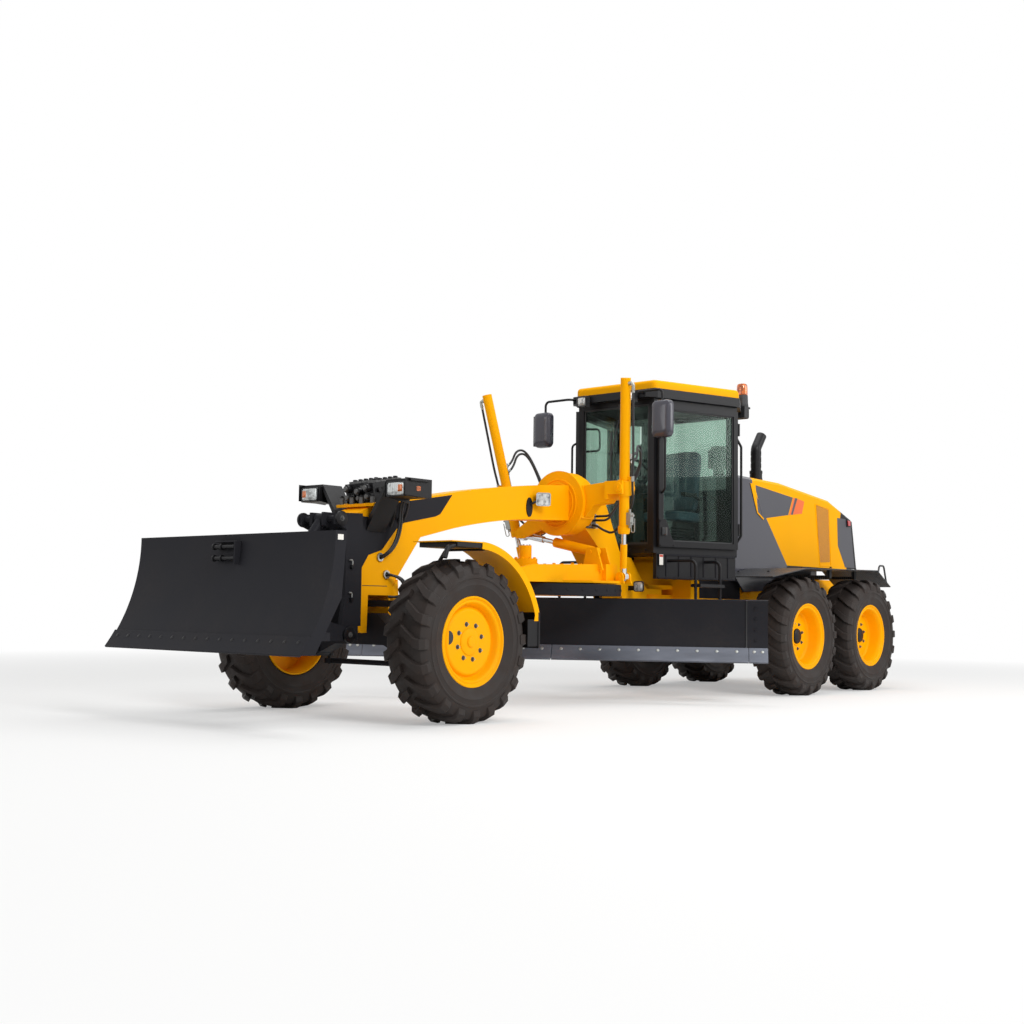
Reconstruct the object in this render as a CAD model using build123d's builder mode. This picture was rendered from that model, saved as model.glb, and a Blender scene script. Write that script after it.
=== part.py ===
"""Motor grader with a front dozer blade: frames, cab, hood, axles, drawbar, circle and blade."""
import os
from math import atan2, cos, radians, sin

from build123d import *

os.makedirs("parts", exist_ok=True)

# ---- driving dimensions, millimetres; +X forward, +Y left, +Z up, z = 0 is the ground ----
AXLE_X = 3450.0           # front axle, ahead of the middle of the machine
WHEELBASE = 6300.0        # front axle to the middle of the tandem
TANDEM_BASE = 1540.0      # between the two wheels of a tandem
TRACK = 2155.0            # between wheel centres, left to right
TYRE_R = 672.0
TYRE_W = 445.0
TYRE_SQUASH = 20.0        # the axle is this much lower than a free tyre's radius
RIM_R = 355.0
RIM_W = 348.0             # over the flanges
RIM_WALL = 14.0
HUB_BORE_R = 60.0
FIT = 1.0                 # running clearance of pins and shafts, on the radius
SEAT_GAP = 0.3            # between faces of two bodies that lie on each other

PIVOT_X = AXLE_X - 4150.0     # articulation pin
PIN_R = 45.0
BEAM_HALF = 150.0             # gooseneck half width
LEG_HALF = 190.0              # frame leg behind the saddle, half width

LEAN_Y = 560.0                # lean pin, out from the centre plane
LEAN_Z = 560.0
KING_Y = 740.0                # kingpin, out from the centre plane
AXLE_Z = TYRE_R - TYRE_SQUASH
LEAN_TOP_Z = 950.0            # pin of the lean bar
TIE_X = AXLE_X - 250.0        # tie rod behind the axle
TIE_Z = 430.0

BALL = (AXLE_X - 330.0, 0.0, 930.0)    # drawbar ball behind the nose
BALL_R = 75.0
BALL_NECK = 76.0              # ball centre to its seat on the bolster
CIRCLE_X = AXLE_X - 2550.0
CIRCLE_R = 690.0
CIRCLE_TOP = 1168.0
CIRCLE_H = 112.0
SADDLE_X = AXLE_X - 2725.0    # middle of the turning collar
SADDLE_Z = 1990.0
LIFT_PIVOT = (AXLE_X - 2725.0, 757.0, 2120.0)     # left lift cylinder trunnion
LIFT_EYE = (AXLE_X - 2886.0, 635.0, 1250.0)       # left lift cylinder rod end
LIFT_TOP = 1080.0             # barrel above the trunnion, along the cylinder
LIFT_LOW = 440.0              # barrel below the trunnion
BARREL_R = 50.0
ROD_R = 24.0
TRUNNION_PLAY = 9.0          # lets the lift barrel tilt fore and aft in its fork
LIFT_EYE_R = 36.0            # bore of a lift rod's eye
EYE_R = 30.0                 # bore of a rod's eye, wider than its pin so that the eye can tilt
SHIFT_EYE = (AXLE_X - 2730.0, -540.0, 1690.0)     # drawbar shift rod on the collar
SHIFT_FOOT = (AXLE_X - 2730.0, 400.0, 1495.0)     # drawbar shift barrel on the drawbar
SHIFT_BARREL = 520.0
SHIFT_EYE_R = 44.0            # bore of the shift rod's eye

BLADE_L = 4270.0
BLADE_H = 600.0
BLADE_T = 20.0
BLADE_ANGLE = 32.0            # left end swung back
BLADE_LOW_Z = 430.0
TIP_PIN = (-245.0, 640.0)     # blade pitch pin, behind and above, in the blade's own frame

CAB_FRONT_X = AXLE_X - 3600.0
CAB_REAR_X = AXLE_X - 4700.0
CAB_BACK_X = AXLE_X - 5060.0  # narrow rear bay behind the door posts
CAB_FRONT_HALF = 500.0
CAB_REAR_HALF = 840.0
CAB_BACK_HALF = 620.0
CAB_FLOOR_Z = 1580.0
CAB_UNDER_Z = 1520.0
CAB_EAVE_Z = 3150.0
CAB_ROOF_Z = 3250.0
ROOF_TOP_Z = 3345.0
POST = 70.0
GLASS_T = 6.0

HOOD_HALF = 455.0
ENGINE_BOX = (1350.0, 640.0, 900.0)

DOZER_W = 2430.0
DOZER_H = 900.0
DOZER_LOW_Z = 572.0
DOZER_FACE_X = AXLE_X + 1480.0    # back of the blade's middle
DOZER_R = 620.0
DOZER_T = 14.0
DOZER_PIN = (AXLE_X + 455.0, 690.0)
DOZER_ARM_Y = 240.0
DOZER_TOP_PIN = (AXLE_X + 520.0, 1645.0)
DOZER_ROD_PIN = (AXLE_X + 1180.0, 800.0)

MID_X = AXLE_X - WHEELBASE + TANDEM_BASE / 2
REAR_X = AXLE_X - WHEELBASE - TANDEM_BASE / 2
TANDEM_X = AXLE_X - WHEELBASE


# ---- helpers: each adds to the part block that is open where it is called ----
def block(x, y, z, mode=Mode.ADD):
    """Box given by its low and high limit on each axis."""
    with Locations(((x[0] + x[1]) / 2, (y[0] + y[1]) / 2, (z[0] + z[1]) / 2)):
        Box(x[1] - x[0], y[1] - y[0], z[1] - z[0], mode=mode)


def plate(plane, outline, half, mode=Mode.ADD):
    """Flat plate: a closed outline drawn on a plane, thickened to both sides."""
    with BuildSketch(plane) as face:
        with BuildLine():
            Polyline(*outline, close=True)
        make_face()
    extrude(face.sketch, amount=half, both=True, mode=mode)


def side_plate(outline, y0, y1, mode=Mode.ADD):
    """Plate parallel to the centre plane, its outline as (x, z) points, from y0 to y1."""
    plane = Plane(origin=(0, y0, 0), x_dir=(1, 0, 0), z_dir=(0, -1, 0))
    with BuildSketch(plane) as face:
        with BuildLine():
            Polyline(*outline, close=True)
        make_face()
    extrude(face.sketch, amount=y0 - y1, mode=mode)


def bar(start, end, radius, mode=Mode.ADD):
    """Round bar between two points."""
    run = Vector(*end) - Vector(*start)
    with BuildSketch(Plane(origin=start, z_dir=run)) as disc:
        Circle(radius)
    extrude(disc.sketch, amount=run.length, mode=mode)


def cross_pin(x, z, y0, y1, radius, mode=Mode.ADD):
    """Round pin or bore along Y."""
    bar((x, y0, z), (x, y1, z), radius, mode)


def bent_tube(points, radius, bend):
    """Tube along straight runs joined by round bends."""
    with BuildLine() as route:
        FilletPolyline(*points, radius=bend)
    with BuildSketch(Plane(origin=points[0], z_dir=route.line % 0)) as ring:
        Circle(radius)
    sweep(ring.sketch, path=route.line)


def along(start, end, distance):
    """Point at a distance from start towards end."""
    step = (Vector(*end) - Vector(*start)).normalized() * distance
    return tuple(Vector(*start) + step)


def finish(builder, label):
    builder.part.label = label
    export_step(builder.part, f"parts/{label}.step")


# ---- wheels: tyre and rim as two solids on one hub ----
# name, wheel x, side, inboard offset of the disc from the wheel's centre plane
WHEELS = (
    ("wheel_front_left", AXLE_X, 1, 85.0),
    ("wheel_front_right", AXLE_X, -1, 85.0),
    ("wheel_mid_left", MID_X, 1, -110.0),
    ("wheel_mid_right", MID_X, -1, -110.0),
    ("wheel_rear_left", REAR_X, 1, -110.0),
    ("wheel_rear_right", REAR_X, -1, -110.0),
)
HUB_FLANGE_R = 165.0
HUB_R = 105.0
DISC_T = 16.0
TREAD_HALF = 165.0
BEAD_R = RIM_R - 32.0         # seat of the tyre on the rim
FLOOR_R = BEAD_R - RIM_WALL


def make_wheel(label, x, side, disc):
    """Revolved about the axle; profile drawn as (outboard distance, radius)."""
    centre = (x, side * TRACK / 2, AXLE_Z)
    frame = Plane(origin=centre, x_dir=(0, side, 0), z_dir=(side, 0, 0))
    axis = Axis(centre, (0, side, 0))
    half_tyre, half_rim = TYRE_W / 2, RIM_W / 2
    bead_half = half_rim - RIM_WALL - SEAT_GAP
    with BuildPart() as wheel:
        with BuildSketch(frame) as rubber:
            with BuildLine():
                inner = Polyline((-bead_half, RIM_R + 6), (-bead_half, BEAD_R + SEAT_GAP),
                                 (bead_half, BEAD_R + SEAT_GAP), (bead_half, RIM_R + 6))
                right = ThreePointArc((bead_half, RIM_R + 6), (half_tyre, TYRE_R - 165),
                                      (TREAD_HALF + 35, TYRE_R - 55))
                Line((TREAD_HALF + 35, TYRE_R - 55), (TREAD_HALF - 40, TYRE_R))
                Line((TREAD_HALF - 40, TYRE_R), (40 - TREAD_HALF, TYRE_R))
                Line((40 - TREAD_HALF, TYRE_R), (-TREAD_HALF - 35, TYRE_R - 55))
                ThreePointArc((-TREAD_HALF - 35, TYRE_R - 55), (-half_tyre, TYRE_R - 165),
                              (-bead_half, RIM_R + 6))
            make_face()
        revolve(rubber.sketch, axis=axis)
        with BuildSketch(frame) as steel:
            with BuildLine():
                Polyline(
                    (-half_rim, RIM_R), (-half_rim + RIM_WALL, RIM_R),
                    (-half_rim + RIM_WALL, BEAD_R), (half_rim - RIM_WALL, BEAD_R),
                    (half_rim - RIM_WALL, RIM_R), (half_rim, RIM_R),
                    (half_rim, FLOOR_R), (disc + DISC_T, FLOOR_R),
                    (disc + DISC_T, HUB_FLANGE_R), (disc + DISC_T + 22, HUB_FLANGE_R - 12),
                    (disc + DISC_T + 22, HUB_R), (disc + DISC_T + 80, HUB_R - 20),
                    (disc + DISC_T + 80, 0), (disc - 6, 0), (disc - 6, HUB_BORE_R + FIT),
                    (disc - 90, HUB_BORE_R + FIT), (disc - 90, HUB_R + 10), (disc, HUB_R + 10),
                    (disc, FLOOR_R), (-half_rim, FLOOR_R), close=True)
            make_face()
        revolve(steel.sketch, axis=axis)
    finish(wheel, label)


for row in WHEELS:
    make_wheel(*row)


# ---- front frame: gooseneck beam, nose, leg down to the hitch ----
NOSE_BOTTOM_Z = 1100.0
NOSE_FRONT_X = AXLE_X + 280.0
NOSE_TOP = ((AXLE_X + 60, 1790), (AXLE_X - 550, 1900))
HITCH_TOP = (1090.0, 1150.0)
HITCH_LOW = (730.0, 790.0)
DISC_R = 330.0
NECK_R = 235.0
COLLAR_HALF = 85.0
with BuildPart() as front_frame:
    with BuildSketch(Plane.XZ) as beam:
        with BuildLine():
            Line((NOSE_FRONT_X, NOSE_BOTTOM_Z), (NOSE_FRONT_X, 1700))
            Line((NOSE_FRONT_X, 1700), NOSE_TOP[0])
            Line(NOSE_TOP[0], NOSE_TOP[1])
            ThreePointArc(NOSE_TOP[1], (AXLE_X - 1560, 2067),
                          (SADDLE_X + COLLAR_HALF, 2168))
            Line((SADDLE_X + COLLAR_HALF, 2168), (SADDLE_X + COLLAR_HALF, 1812))
            Line((SADDLE_X + COLLAR_HALF, 1812), (AXLE_X - 1925, 1783))
            ThreePointArc((AXLE_X - 1925, 1783), (AXLE_X - 1400, 1725), (AXLE_X - 918, 1640))
            Line((AXLE_X - 918, 1640), (AXLE_X - 500, 1540))
            Line((AXLE_X - 500, 1540), (AXLE_X - 160, NOSE_BOTTOM_Z))
            Line((AXLE_X - 160, NOSE_BOTTOM_Z), (NOSE_FRONT_X, NOSE_BOTTOM_Z))
        make_face()
    extrude(beam.sketch, amount=BEAM_HALF, both=True)
    # saddle discs and the neck that the collar turns on
    bar((SADDLE_X + COLLAR_HALF + 26, 0, SADDLE_Z), (SADDLE_X + COLLAR_HALF + 1, 0, SADDLE_Z),
        DISC_R)
    bar((SADDLE_X + COLLAR_HALF + 2, 0, SADDLE_Z), (SADDLE_X - COLLAR_HALF - 60, 0, SADDLE_Z),
        NECK_R)
    bar((SADDLE_X - COLLAR_HALF - 1, 0, SADDLE_Z), (SADDLE_X - COLLAR_HALF - 60, 0, SADDLE_Z),
        DISC_R - 25)
    # leg, boxed between two side plates
    side_plate(((SADDLE_X - COLLAR_HALF - 30, 2200), (SADDLE_X - 400, 2110),
                (AXLE_X - 3260, 1870), (AXLE_X - 3425, CAB_UNDER_Z + 20), (AXLE_X - 3480, 1485),
                (AXLE_X - 3640, 1470), (AXLE_X - 3850, 1230),
                (AXLE_X - 3930, HITCH_TOP[1]), (AXLE_X - 3930, HITCH_LOW[0]),
                (AXLE_X - 3640, HITCH_LOW[0]), (AXLE_X - 3520, 1000), (AXLE_X - 3330, 1250),
                (AXLE_X - 3080, 1540), (SADDLE_X - COLLAR_HALF - 30, 1740)),
               -LEG_HALF, LEG_HALF)
    # hitch lugs
    for low, high in (HITCH_TOP, HITCH_LOW):
        block((PIVOT_X, AXLE_X - 3900), (-LEG_HALF, LEG_HALF), (low, high))
        bar((PIVOT_X, 0, low), (PIVOT_X, 0, high), LEG_HALF)
        bar((PIVOT_X, 0, low - 1), (PIVOT_X, 0, high + 1), PIN_R + FIT, Mode.SUBTRACT)
    # bolster that carries the axle's centre pin, open behind the dozer mount
    side_plate(((AXLE_X - 160, NOSE_BOTTOM_Z), (NOSE_FRONT_X, NOSE_BOTTOM_Z),
                (NOSE_FRONT_X, 760), (AXLE_X + 190, 700), (AXLE_X + 130, 700),
                (AXLE_X + 120, 1020), (AXLE_X - 120, 1020), (AXLE_X - 125, 700),
                (AXLE_X - 190, 700), (AXLE_X - 260, 800), (AXLE_X - 230, NOSE_BOTTOM_Z + 60)),
               -BEAM_HALF, BEAM_HALF)
    bar((AXLE_X - 261, 0, AXLE_Z + 130), (NOSE_FRONT_X + 1, 0, AXLE_Z + 130),
        PIN_R, Mode.SUBTRACT)
    # ball socket on the rear of the bolster
    block((BALL[0] + BALL_NECK, AXLE_X - 200), (-95, 95), (BALL[2] - 95, BALL[2] + 95))
finish(front_frame, "front_frame")

# ---- collar of the saddle with its two arms and the lug of the shift cylinder ----
ARM_X = (SADDLE_X - 75, SADDLE_X + 75)
with BuildPart() as saddle:
    bar((SADDLE_X - COLLAR_HALF, 0, SADDLE_Z), (SADDLE_X + COLLAR_HALF, 0, SADDLE_Z), DISC_R - 8)
    bar((SADDLE_X - COLLAR_HALF - 1, 0, SADDLE_Z), (SADDLE_X + COLLAR_HALF + 1, 0, SADDLE_Z),
        NECK_R + SEAT_GAP, Mode.SUBTRACT)
    for side in (1, -1):
        plane = Plane(origin=(SADDLE_X, 0, 0), x_dir=(0, side, 0), z_dir=(side, 0, 0))
        plate(plane, ((255, 1880), (300, 2160), (600, 2185), (620, 2165), (620, 2010),
                      (590, 1975), (430, 1960), (320, 1850)), 60)
        # fork that holds the lift cylinder's trunnions
        for edge in (-1, 1):
            y0, y1 = sorted((side * 600, side * (LIFT_PIVOT[1] + 45)))
            x0, x1 = sorted((SADDLE_X + edge * 78, SADDLE_X + edge * 104))
            block((x0, x1), (y0, y1), (2055, 2185))
        y0, y1 = sorted((side * 590, side * 622))
        block((SADDLE_X - 104, SADDLE_X + 104), (y0, y1), (2010, 2185))
    for edge in (-1, 1):
        plane = Plane(origin=(SHIFT_EYE[0] + edge * 62, 0, 0), x_dir=(0, 1, 0), z_dir=(1, 0, 0))
        plate(plane, ((SHIFT_EYE[1] - 45, SHIFT_EYE[2] - 40), (SHIFT_EYE[1] - 45, SHIFT_EYE[2] + 45),
                      (-300, 1905), (-150, 1760), (SHIFT_EYE[1] + 60, SHIFT_EYE[2] - 40)), 12)
    bar((SHIFT_EYE[0] - 74, SHIFT_EYE[1], SHIFT_EYE[2]),
        (SHIFT_EYE[0] + 74, SHIFT_EYE[1], SHIFT_EYE[2]), 17)
    bar((SADDLE_X - COLLAR_HALF - 1, 0, SADDLE_Z), (SADDLE_X + COLLAR_HALF + 1, 0, SADDLE_Z),
        NECK_R + SEAT_GAP, Mode.SUBTRACT)
    for side in (1, -1):
        pivot = (LIFT_PIVOT[0], side * LIFT_PIVOT[1], LIFT_PIVOT[2])
        bar((pivot[0] - 106, pivot[1], pivot[2]), (pivot[0] + 106, pivot[1], pivot[2]),
            26 + TRUNNION_PLAY, Mode.SUBTRACT)
finish(saddle, "saddle")

# ---- lift cylinders: barrel in the saddle's fork, rod down to the drawbar ----
for side, hand in ((1, "left"), (-1, "right")):
    pivot = (LIFT_PIVOT[0], side * LIFT_PIVOT[1], LIFT_PIVOT[2])
    eye = (LIFT_EYE[0], side * LIFT_EYE[1], LIFT_EYE[2])
    top = along(pivot, eye, -LIFT_TOP)
    low = along(pivot, eye, LIFT_LOW)
    with BuildPart() as lift_barrel:
        bar(top, low, BARREL_R)
        bar(along(pivot, eye, LIFT_LOW - 60), along(pivot, eye, LIFT_LOW + 12), BARREL_R + 5)
        bar((pivot[0] - 102, pivot[1], pivot[2]), (pivot[0] + 102, pivot[1], pivot[2]), 26)
        bar(along(pivot, eye, -LIFT_TOP + 40), along(pivot, eye, LIFT_LOW + 13), ROD_R + FIT,
            Mode.SUBTRACT)
    finish(lift_barrel, f"lift_barrel_{hand}")
    with BuildPart() as lift_rod:
        bar(along(pivot, eye, -180), along(pivot, eye, 690), ROD_R)
        bar(along(pivot, eye, 560), eye, 32)
        bar((eye[0] - 30, eye[1], eye[2]), (eye[0] + 30, eye[1], eye[2]), 46)
        bar((eye[0] - 61, eye[1], eye[2]), (eye[0] + 61, eye[1], eye[2]), LIFT_EYE_R,
            Mode.SUBTRACT)
    finish(lift_rod, f"lift_rod_{hand}")

# ---- drawbar: ball, A-frame, lugs of the lift and shift cylinders, circle drive ----
with BuildPart() as drawbar_ball:
    with Locations(BALL):
        Sphere(BALL_R)
    bar(BALL, (BALL[0] + BALL_NECK, 0, BALL[2]), 40)
finish(drawbar_ball, "drawbar_ball")

DRAW_TOP = 1370.0
DRAW_LOW = CIRCLE_TOP + 12.0
RAIL_W = 60.0
with BuildPart() as drawbar:
    # two converging rails, closed by a rear cross beam
    for side in (1, -1):
        head = Vector(BALL[0] - 60, side * 60, 0)
        tail = Vector(CIRCLE_X - 180, side * 480, 0)
        run = (tail - head).normalized()
        flat = Plane(origin=(head.X, head.Y, 0), x_dir=(run.X, run.Y, 0), z_dir=(run.Y, -run.X, 0))
        length = (tail - head).length
        rise = 1 if flat.y_dir.Z > 0 else -1
        plate(flat, ((0, rise * (BALL[2] + 70)), (0, rise * (BALL[2] - 70)),
                     (length * 0.55, rise * DRAW_LOW), (length, rise * DRAW_LOW),
                     (length, rise * DRAW_TOP), (length * 0.62, rise * (DRAW_TOP - 25))), RAIL_W / 2)
    block((BALL[0] - 230, BALL[0] - 50), (-110, 110), (BALL[2] - 60, BALL[2] + 75))
    block((CIRCLE_X - 330, CIRCLE_X - 150), (-560, 560), (DRAW_LOW, DRAW_TOP))
    with BuildSketch(Plane.XY.offset(DRAW_LOW)) as table:
        with BuildLine():
            Polyline((CIRCLE_X + 640, -190), (CIRCLE_X + 640, 190), (CIRCLE_X + 120, 600),
                     (CIRCLE_X - 330, 660), (CIRCLE_X - 330, -660), (CIRCLE_X + 120, -600),
                     close=True)
        make_face()
        with Locations((CIRCLE_X, 0)):
            Circle(260, mode=Mode.SUBTRACT)
    extrude(table.sketch, amount=24)
    # lugs: lift balls to the sides, shift cylinder on the left
    for side in (1, -1):
        block((LIFT_EYE[0] - 71, LIFT_EYE[0] + 71), tuple(sorted((side * 540, side * 690))),
              (DRAW_LOW, LIFT_EYE[2] - 46))
        block((LIFT_EYE[0] - 52, LIFT_EYE[0] + 52),
              tuple(sorted((side * (LIFT_EYE[1] - 58), side * 700))),
              (DRAW_LOW - 1, LIFT_EYE[2] - 30), Mode.SUBTRACT)
        for edge in (-1, 1):
            x0, x1 = sorted((LIFT_EYE[0] + edge * 54, LIFT_EYE[0] + edge * 71))
            y0, y1 = sorted((side * (LIFT_EYE[1] - 45), side * (LIFT_EYE[1] + 45)))
            block((x0, x1), (y0, y1), (DRAW_LOW, LIFT_EYE[2]))
            bar((x0, side * LIFT_EYE[1], LIFT_EYE[2]), (x1, side * LIFT_EYE[1], LIFT_EYE[2]), 45)
        bar((LIFT_EYE[0] - 79, side * LIFT_EYE[1], LIFT_EYE[2]),
            (LIFT_EYE[0] + 79, side * LIFT_EYE[1], LIFT_EYE[2]), 18)
    for edge in (-1, 1):
        x0, x1 = sorted((SHIFT_FOOT[0] + edge * 62, SHIFT_FOOT[0] + edge * 84))
        plane = Plane(origin=((x0 + x1) / 2, 0, 0), x_dir=(0, 1, 0), z_dir=(1, 0, 0))
        plate(plane, ((300, DRAW_TOP - 60), (555, DRAW_TOP - 60), (480, SHIFT_FOOT[2] + 40),
                      (SHIFT_FOOT[1] - 45, SHIFT_FOOT[2] + 40)), 11)
    bar((SHIFT_FOOT[0] - 90, SHIFT_FOOT[1], SHIFT_FOOT[2]),
        (SHIFT_FOOT[0] + 90, SHIFT_FOOT[1], SHIFT_FOOT[2]), 18)
    # circle drive: gearbox with its motor
    bar((CIRCLE_X + 430, 0, DRAW_LOW + 20), (CIRCLE_X + 430, 0, DRAW_TOP + 40), 120)
    bar((CIRCLE_X + 430, 0, DRAW_TOP + 39), (CIRCLE_X + 430, 0, DRAW_TOP + 170), 62)
    # journal of the circle
    bar((CIRCLE_X, 0, CIRCLE_TOP - CIRCLE_H), (CIRCLE_X, 0, DRAW_LOW + 1), 300)
    bar((CIRCLE_X, 0, CIRCLE_TOP - CIRCLE_H - 1), (CIRCLE_X, 0, DRAW_LOW + 2), 260, Mode.SUBTRACT)
    with Locations(BALL):
        Sphere(BALL_R + FIT, mode=Mode.SUBTRACT)
    bar((BALL[0], 0, BALL[2]), (BALL[0] + 200, 0, BALL[2]), 62, Mode.SUBTRACT)
finish(drawbar, "drawbar")

# ---- drawbar shift cylinder ----
with BuildPart() as shift_barrel:
    bar((SHIFT_FOOT[0] - 38, SHIFT_FOOT[1], SHIFT_FOOT[2]),
        (SHIFT_FOOT[0] + 38, SHIFT_FOOT[1], SHIFT_FOOT[2]), 44)
    bar(along(SHIFT_FOOT, SHIFT_EYE, 30), along(SHIFT_FOOT, SHIFT_EYE, SHIFT_BARREL), BARREL_R)
    bar(along(SHIFT_FOOT, SHIFT_EYE, 60), along(SHIFT_FOOT, SHIFT_EYE, SHIFT_BARREL + 1),
        ROD_R + FIT, Mode.SUBTRACT)
    bar((SHIFT_FOOT[0] - 60, SHIFT_FOOT[1], SHIFT_FOOT[2]),
        (SHIFT_FOOT[0] + 60, SHIFT_FOOT[1], SHIFT_FOOT[2]), EYE_R, Mode.SUBTRACT)
finish(shift_barrel, "shift_cylinder")
SHIFT_LEN = (Vector(*SHIFT_EYE) - Vector(*SHIFT_FOOT)).length
with BuildPart() as shift_rod:
    bar(along(SHIFT_FOOT, SHIFT_EYE, 150), along(SHIFT_FOOT, SHIFT_EYE, SHIFT_LEN - 45), ROD_R)
    bar(along(SHIFT_FOOT, SHIFT_EYE, SHIFT_LEN - 280),
        along(SHIFT_FOOT, SHIFT_EYE, SHIFT_LEN - 45), 34)
    bar((SHIFT_EYE[0] - 30, SHIFT_EYE[1], SHIFT_EYE[2]),
        (SHIFT_EYE[0] + 30, SHIFT_EYE[1], SHIFT_EYE[2]), SHIFT_EYE_R + 16)
    bar((SHIFT_EYE[0] - 31, SHIFT_EYE[1], SHIFT_EYE[2]),
        (SHIFT_EYE[0] + 31, SHIFT_EYE[1], SHIFT_EYE[2]), SHIFT_EYE_R, Mode.SUBTRACT)
finish(shift_rod, "shift_cylinder_rod")

# ---- circle and blade, drawn straight across and swung by the blade angle ----
BLADE = Plane(origin=(CIRCLE_X, 0, 0),
              x_dir=(cos(radians(BLADE_ANGLE)), sin(radians(BLADE_ANGLE)), 0), z_dir=(0, 0, 1))
TO_BLADE = BLADE.location
ARM_HALF = 430.0              # circle arms, out from the middle
with BuildPart() as circle_straight:
    with BuildSketch(Plane.XY.offset(CIRCLE_TOP)) as ring:
        Circle(CIRCLE_R)
        Circle(300 + FIT, mode=Mode.SUBTRACT)
    extrude(ring.sketch, amount=-CIRCLE_H)
    for side in (1, -1):
        y0, y1 = sorted((side * (ARM_HALF - 25), side * (ARM_HALF + 25)))
        side_plate(((-178, CIRCLE_TOP - CIRCLE_H + 5), (-560, CIRCLE_TOP - CIRCLE_H + 5),
                    (-500, 820), (TIP_PIN[0] - 90, TIP_PIN[1] - 40), (TIP_PIN[0] - 50, TIP_PIN[1] - 85),
                    (TIP_PIN[0] + 50, TIP_PIN[1] - 85), (TIP_PIN[0] + 80, TIP_PIN[1] - 40),
                    (TIP_PIN[0] + 75, TIP_PIN[1] + 60), (-178, 860)), y0, y1)
    cross_pin(TIP_PIN[0], TIP_PIN[1], -ARM_HALF - 30, ARM_HALF + 30, 32 + FIT, Mode.SUBTRACT)
with BuildPart() as circle:
    with Locations(TO_BLADE):
        add(circle_straight.part)
finish(circle, "circle")

SIDE_SHIFT = (-215.0, 470.0)   # axis of the blade's side shift cylinder
RAIL_Z = (BLADE_LOW_Z + 150, BLADE_LOW_Z + 420)    # slide rails on the back of the blade
BACK_X = -150.0               # where the rails' rear faces run
with BuildPart() as carrier_straight:
    cross_pin(TIP_PIN[0], TIP_PIN[1], -ARM_HALF - 60, ARM_HALF + 60, 32)
    for side in (1, -1):
        y0, y1 = sorted((side * (ARM_HALF - 100), side * (ARM_HALF - 35)))
        side_plate(((TIP_PIN[0] - 60, TIP_PIN[1] - 55), (TIP_PIN[0] - 60, TIP_PIN[1] + 60),
                    (-190, RAIL_Z[1] + 45), (BACK_X - 5, RAIL_Z[1] + 45),
                    (BACK_X - 5, RAIL_Z[0] - 45), (-190, RAIL_Z[0] - 45)), y0, y1)
        shoe = tuple(sorted((side * (ARM_HALF - 130), side * (ARM_HALF - 35))))
        for z in RAIL_Z:
            block((BACK_X - 40, BACK_X + 50), shoe, (z + 24, z + 44))
            block((BACK_X - 40, BACK_X + 50), shoe, (z - 44, z - 24))
        # saddle of the side shift cylinder
        block((SIDE_SHIFT[0] - 20, TIP_PIN[0] + 60), (y0, y1), (SIDE_SHIFT[1], TIP_PIN[1] - 50))
    cross_pin(*SIDE_SHIFT, -720, 420, 42)
    cross_pin(*SIDE_SHIFT, -700, 421, 22 + FIT, Mode.SUBTRACT)
with BuildPart() as carrier:
    with Locations(TO_BLADE):
        add(carrier_straight.part)
finish(carrier, "blade_carrier")

EDGE_H = 150.0
with BuildPart() as moldboard_straight:
    # curved plate: an arc open to the front, its chord leaning a little back
    arc_mid_z = BLADE_LOW_Z + 0.52 * BLADE_H
    profile_plane = Plane(origin=(0, BLADE_L / 2, 0), x_dir=(1, 0, 0), z_dir=(0, -1, 0))
    with BuildSketch(profile_plane) as curve:
        with BuildLine():
            low = (60, BLADE_LOW_Z)
            mid = (-60, arc_mid_z)
            high = (20, BLADE_LOW_Z + BLADE_H)
            front = ThreePointArc(low, mid, high)
            Line(high, (high[0] - BLADE_T, high[1] + 6))
            ThreePointArc((high[0] - BLADE_T, high[1] + 6), (mid[0] - BLADE_T, mid[1]),
                          (low[0] - BLADE_T, low[1] + 14))
            Line((low[0] - BLADE_T, low[1] + 14), low)
        make_face()
    extrude(curve.sketch, amount=BLADE_L)
    # slide rails, closed by ribs outside the carrier's travel
    for z in RAIL_Z:
        block((BACK_X, -55), (-1500, 1500), (z - 22, z + 22))
    for y in (-1480, -1120, 1120, 1480):
        side_plate(((BACK_X, RAIL_Z[0] - 22), (BACK_X, RAIL_Z[1] + 22), (-50, RAIL_Z[1] + 60),
                    (-70, arc_mid_z), (-25, RAIL_Z[0] - 60)), y - 10, y + 10)
    cross_pin(*SIDE_SHIFT, -220, 1100, 22)
    side_plate(((SIDE_SHIFT[0] - 35, SIDE_SHIFT[1] - 35), (SIDE_SHIFT[0] - 35, SIDE_SHIFT[1] + 35),
                (-40, SIDE_SHIFT[1] + 60), (10, SIDE_SHIFT[1] - 20)), 1090, 1120)
with BuildPart() as moldboard:
    with Locations(TO_BLADE):
        add(moldboard_straight.part)
finish(moldboard, "moldboard")

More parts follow.
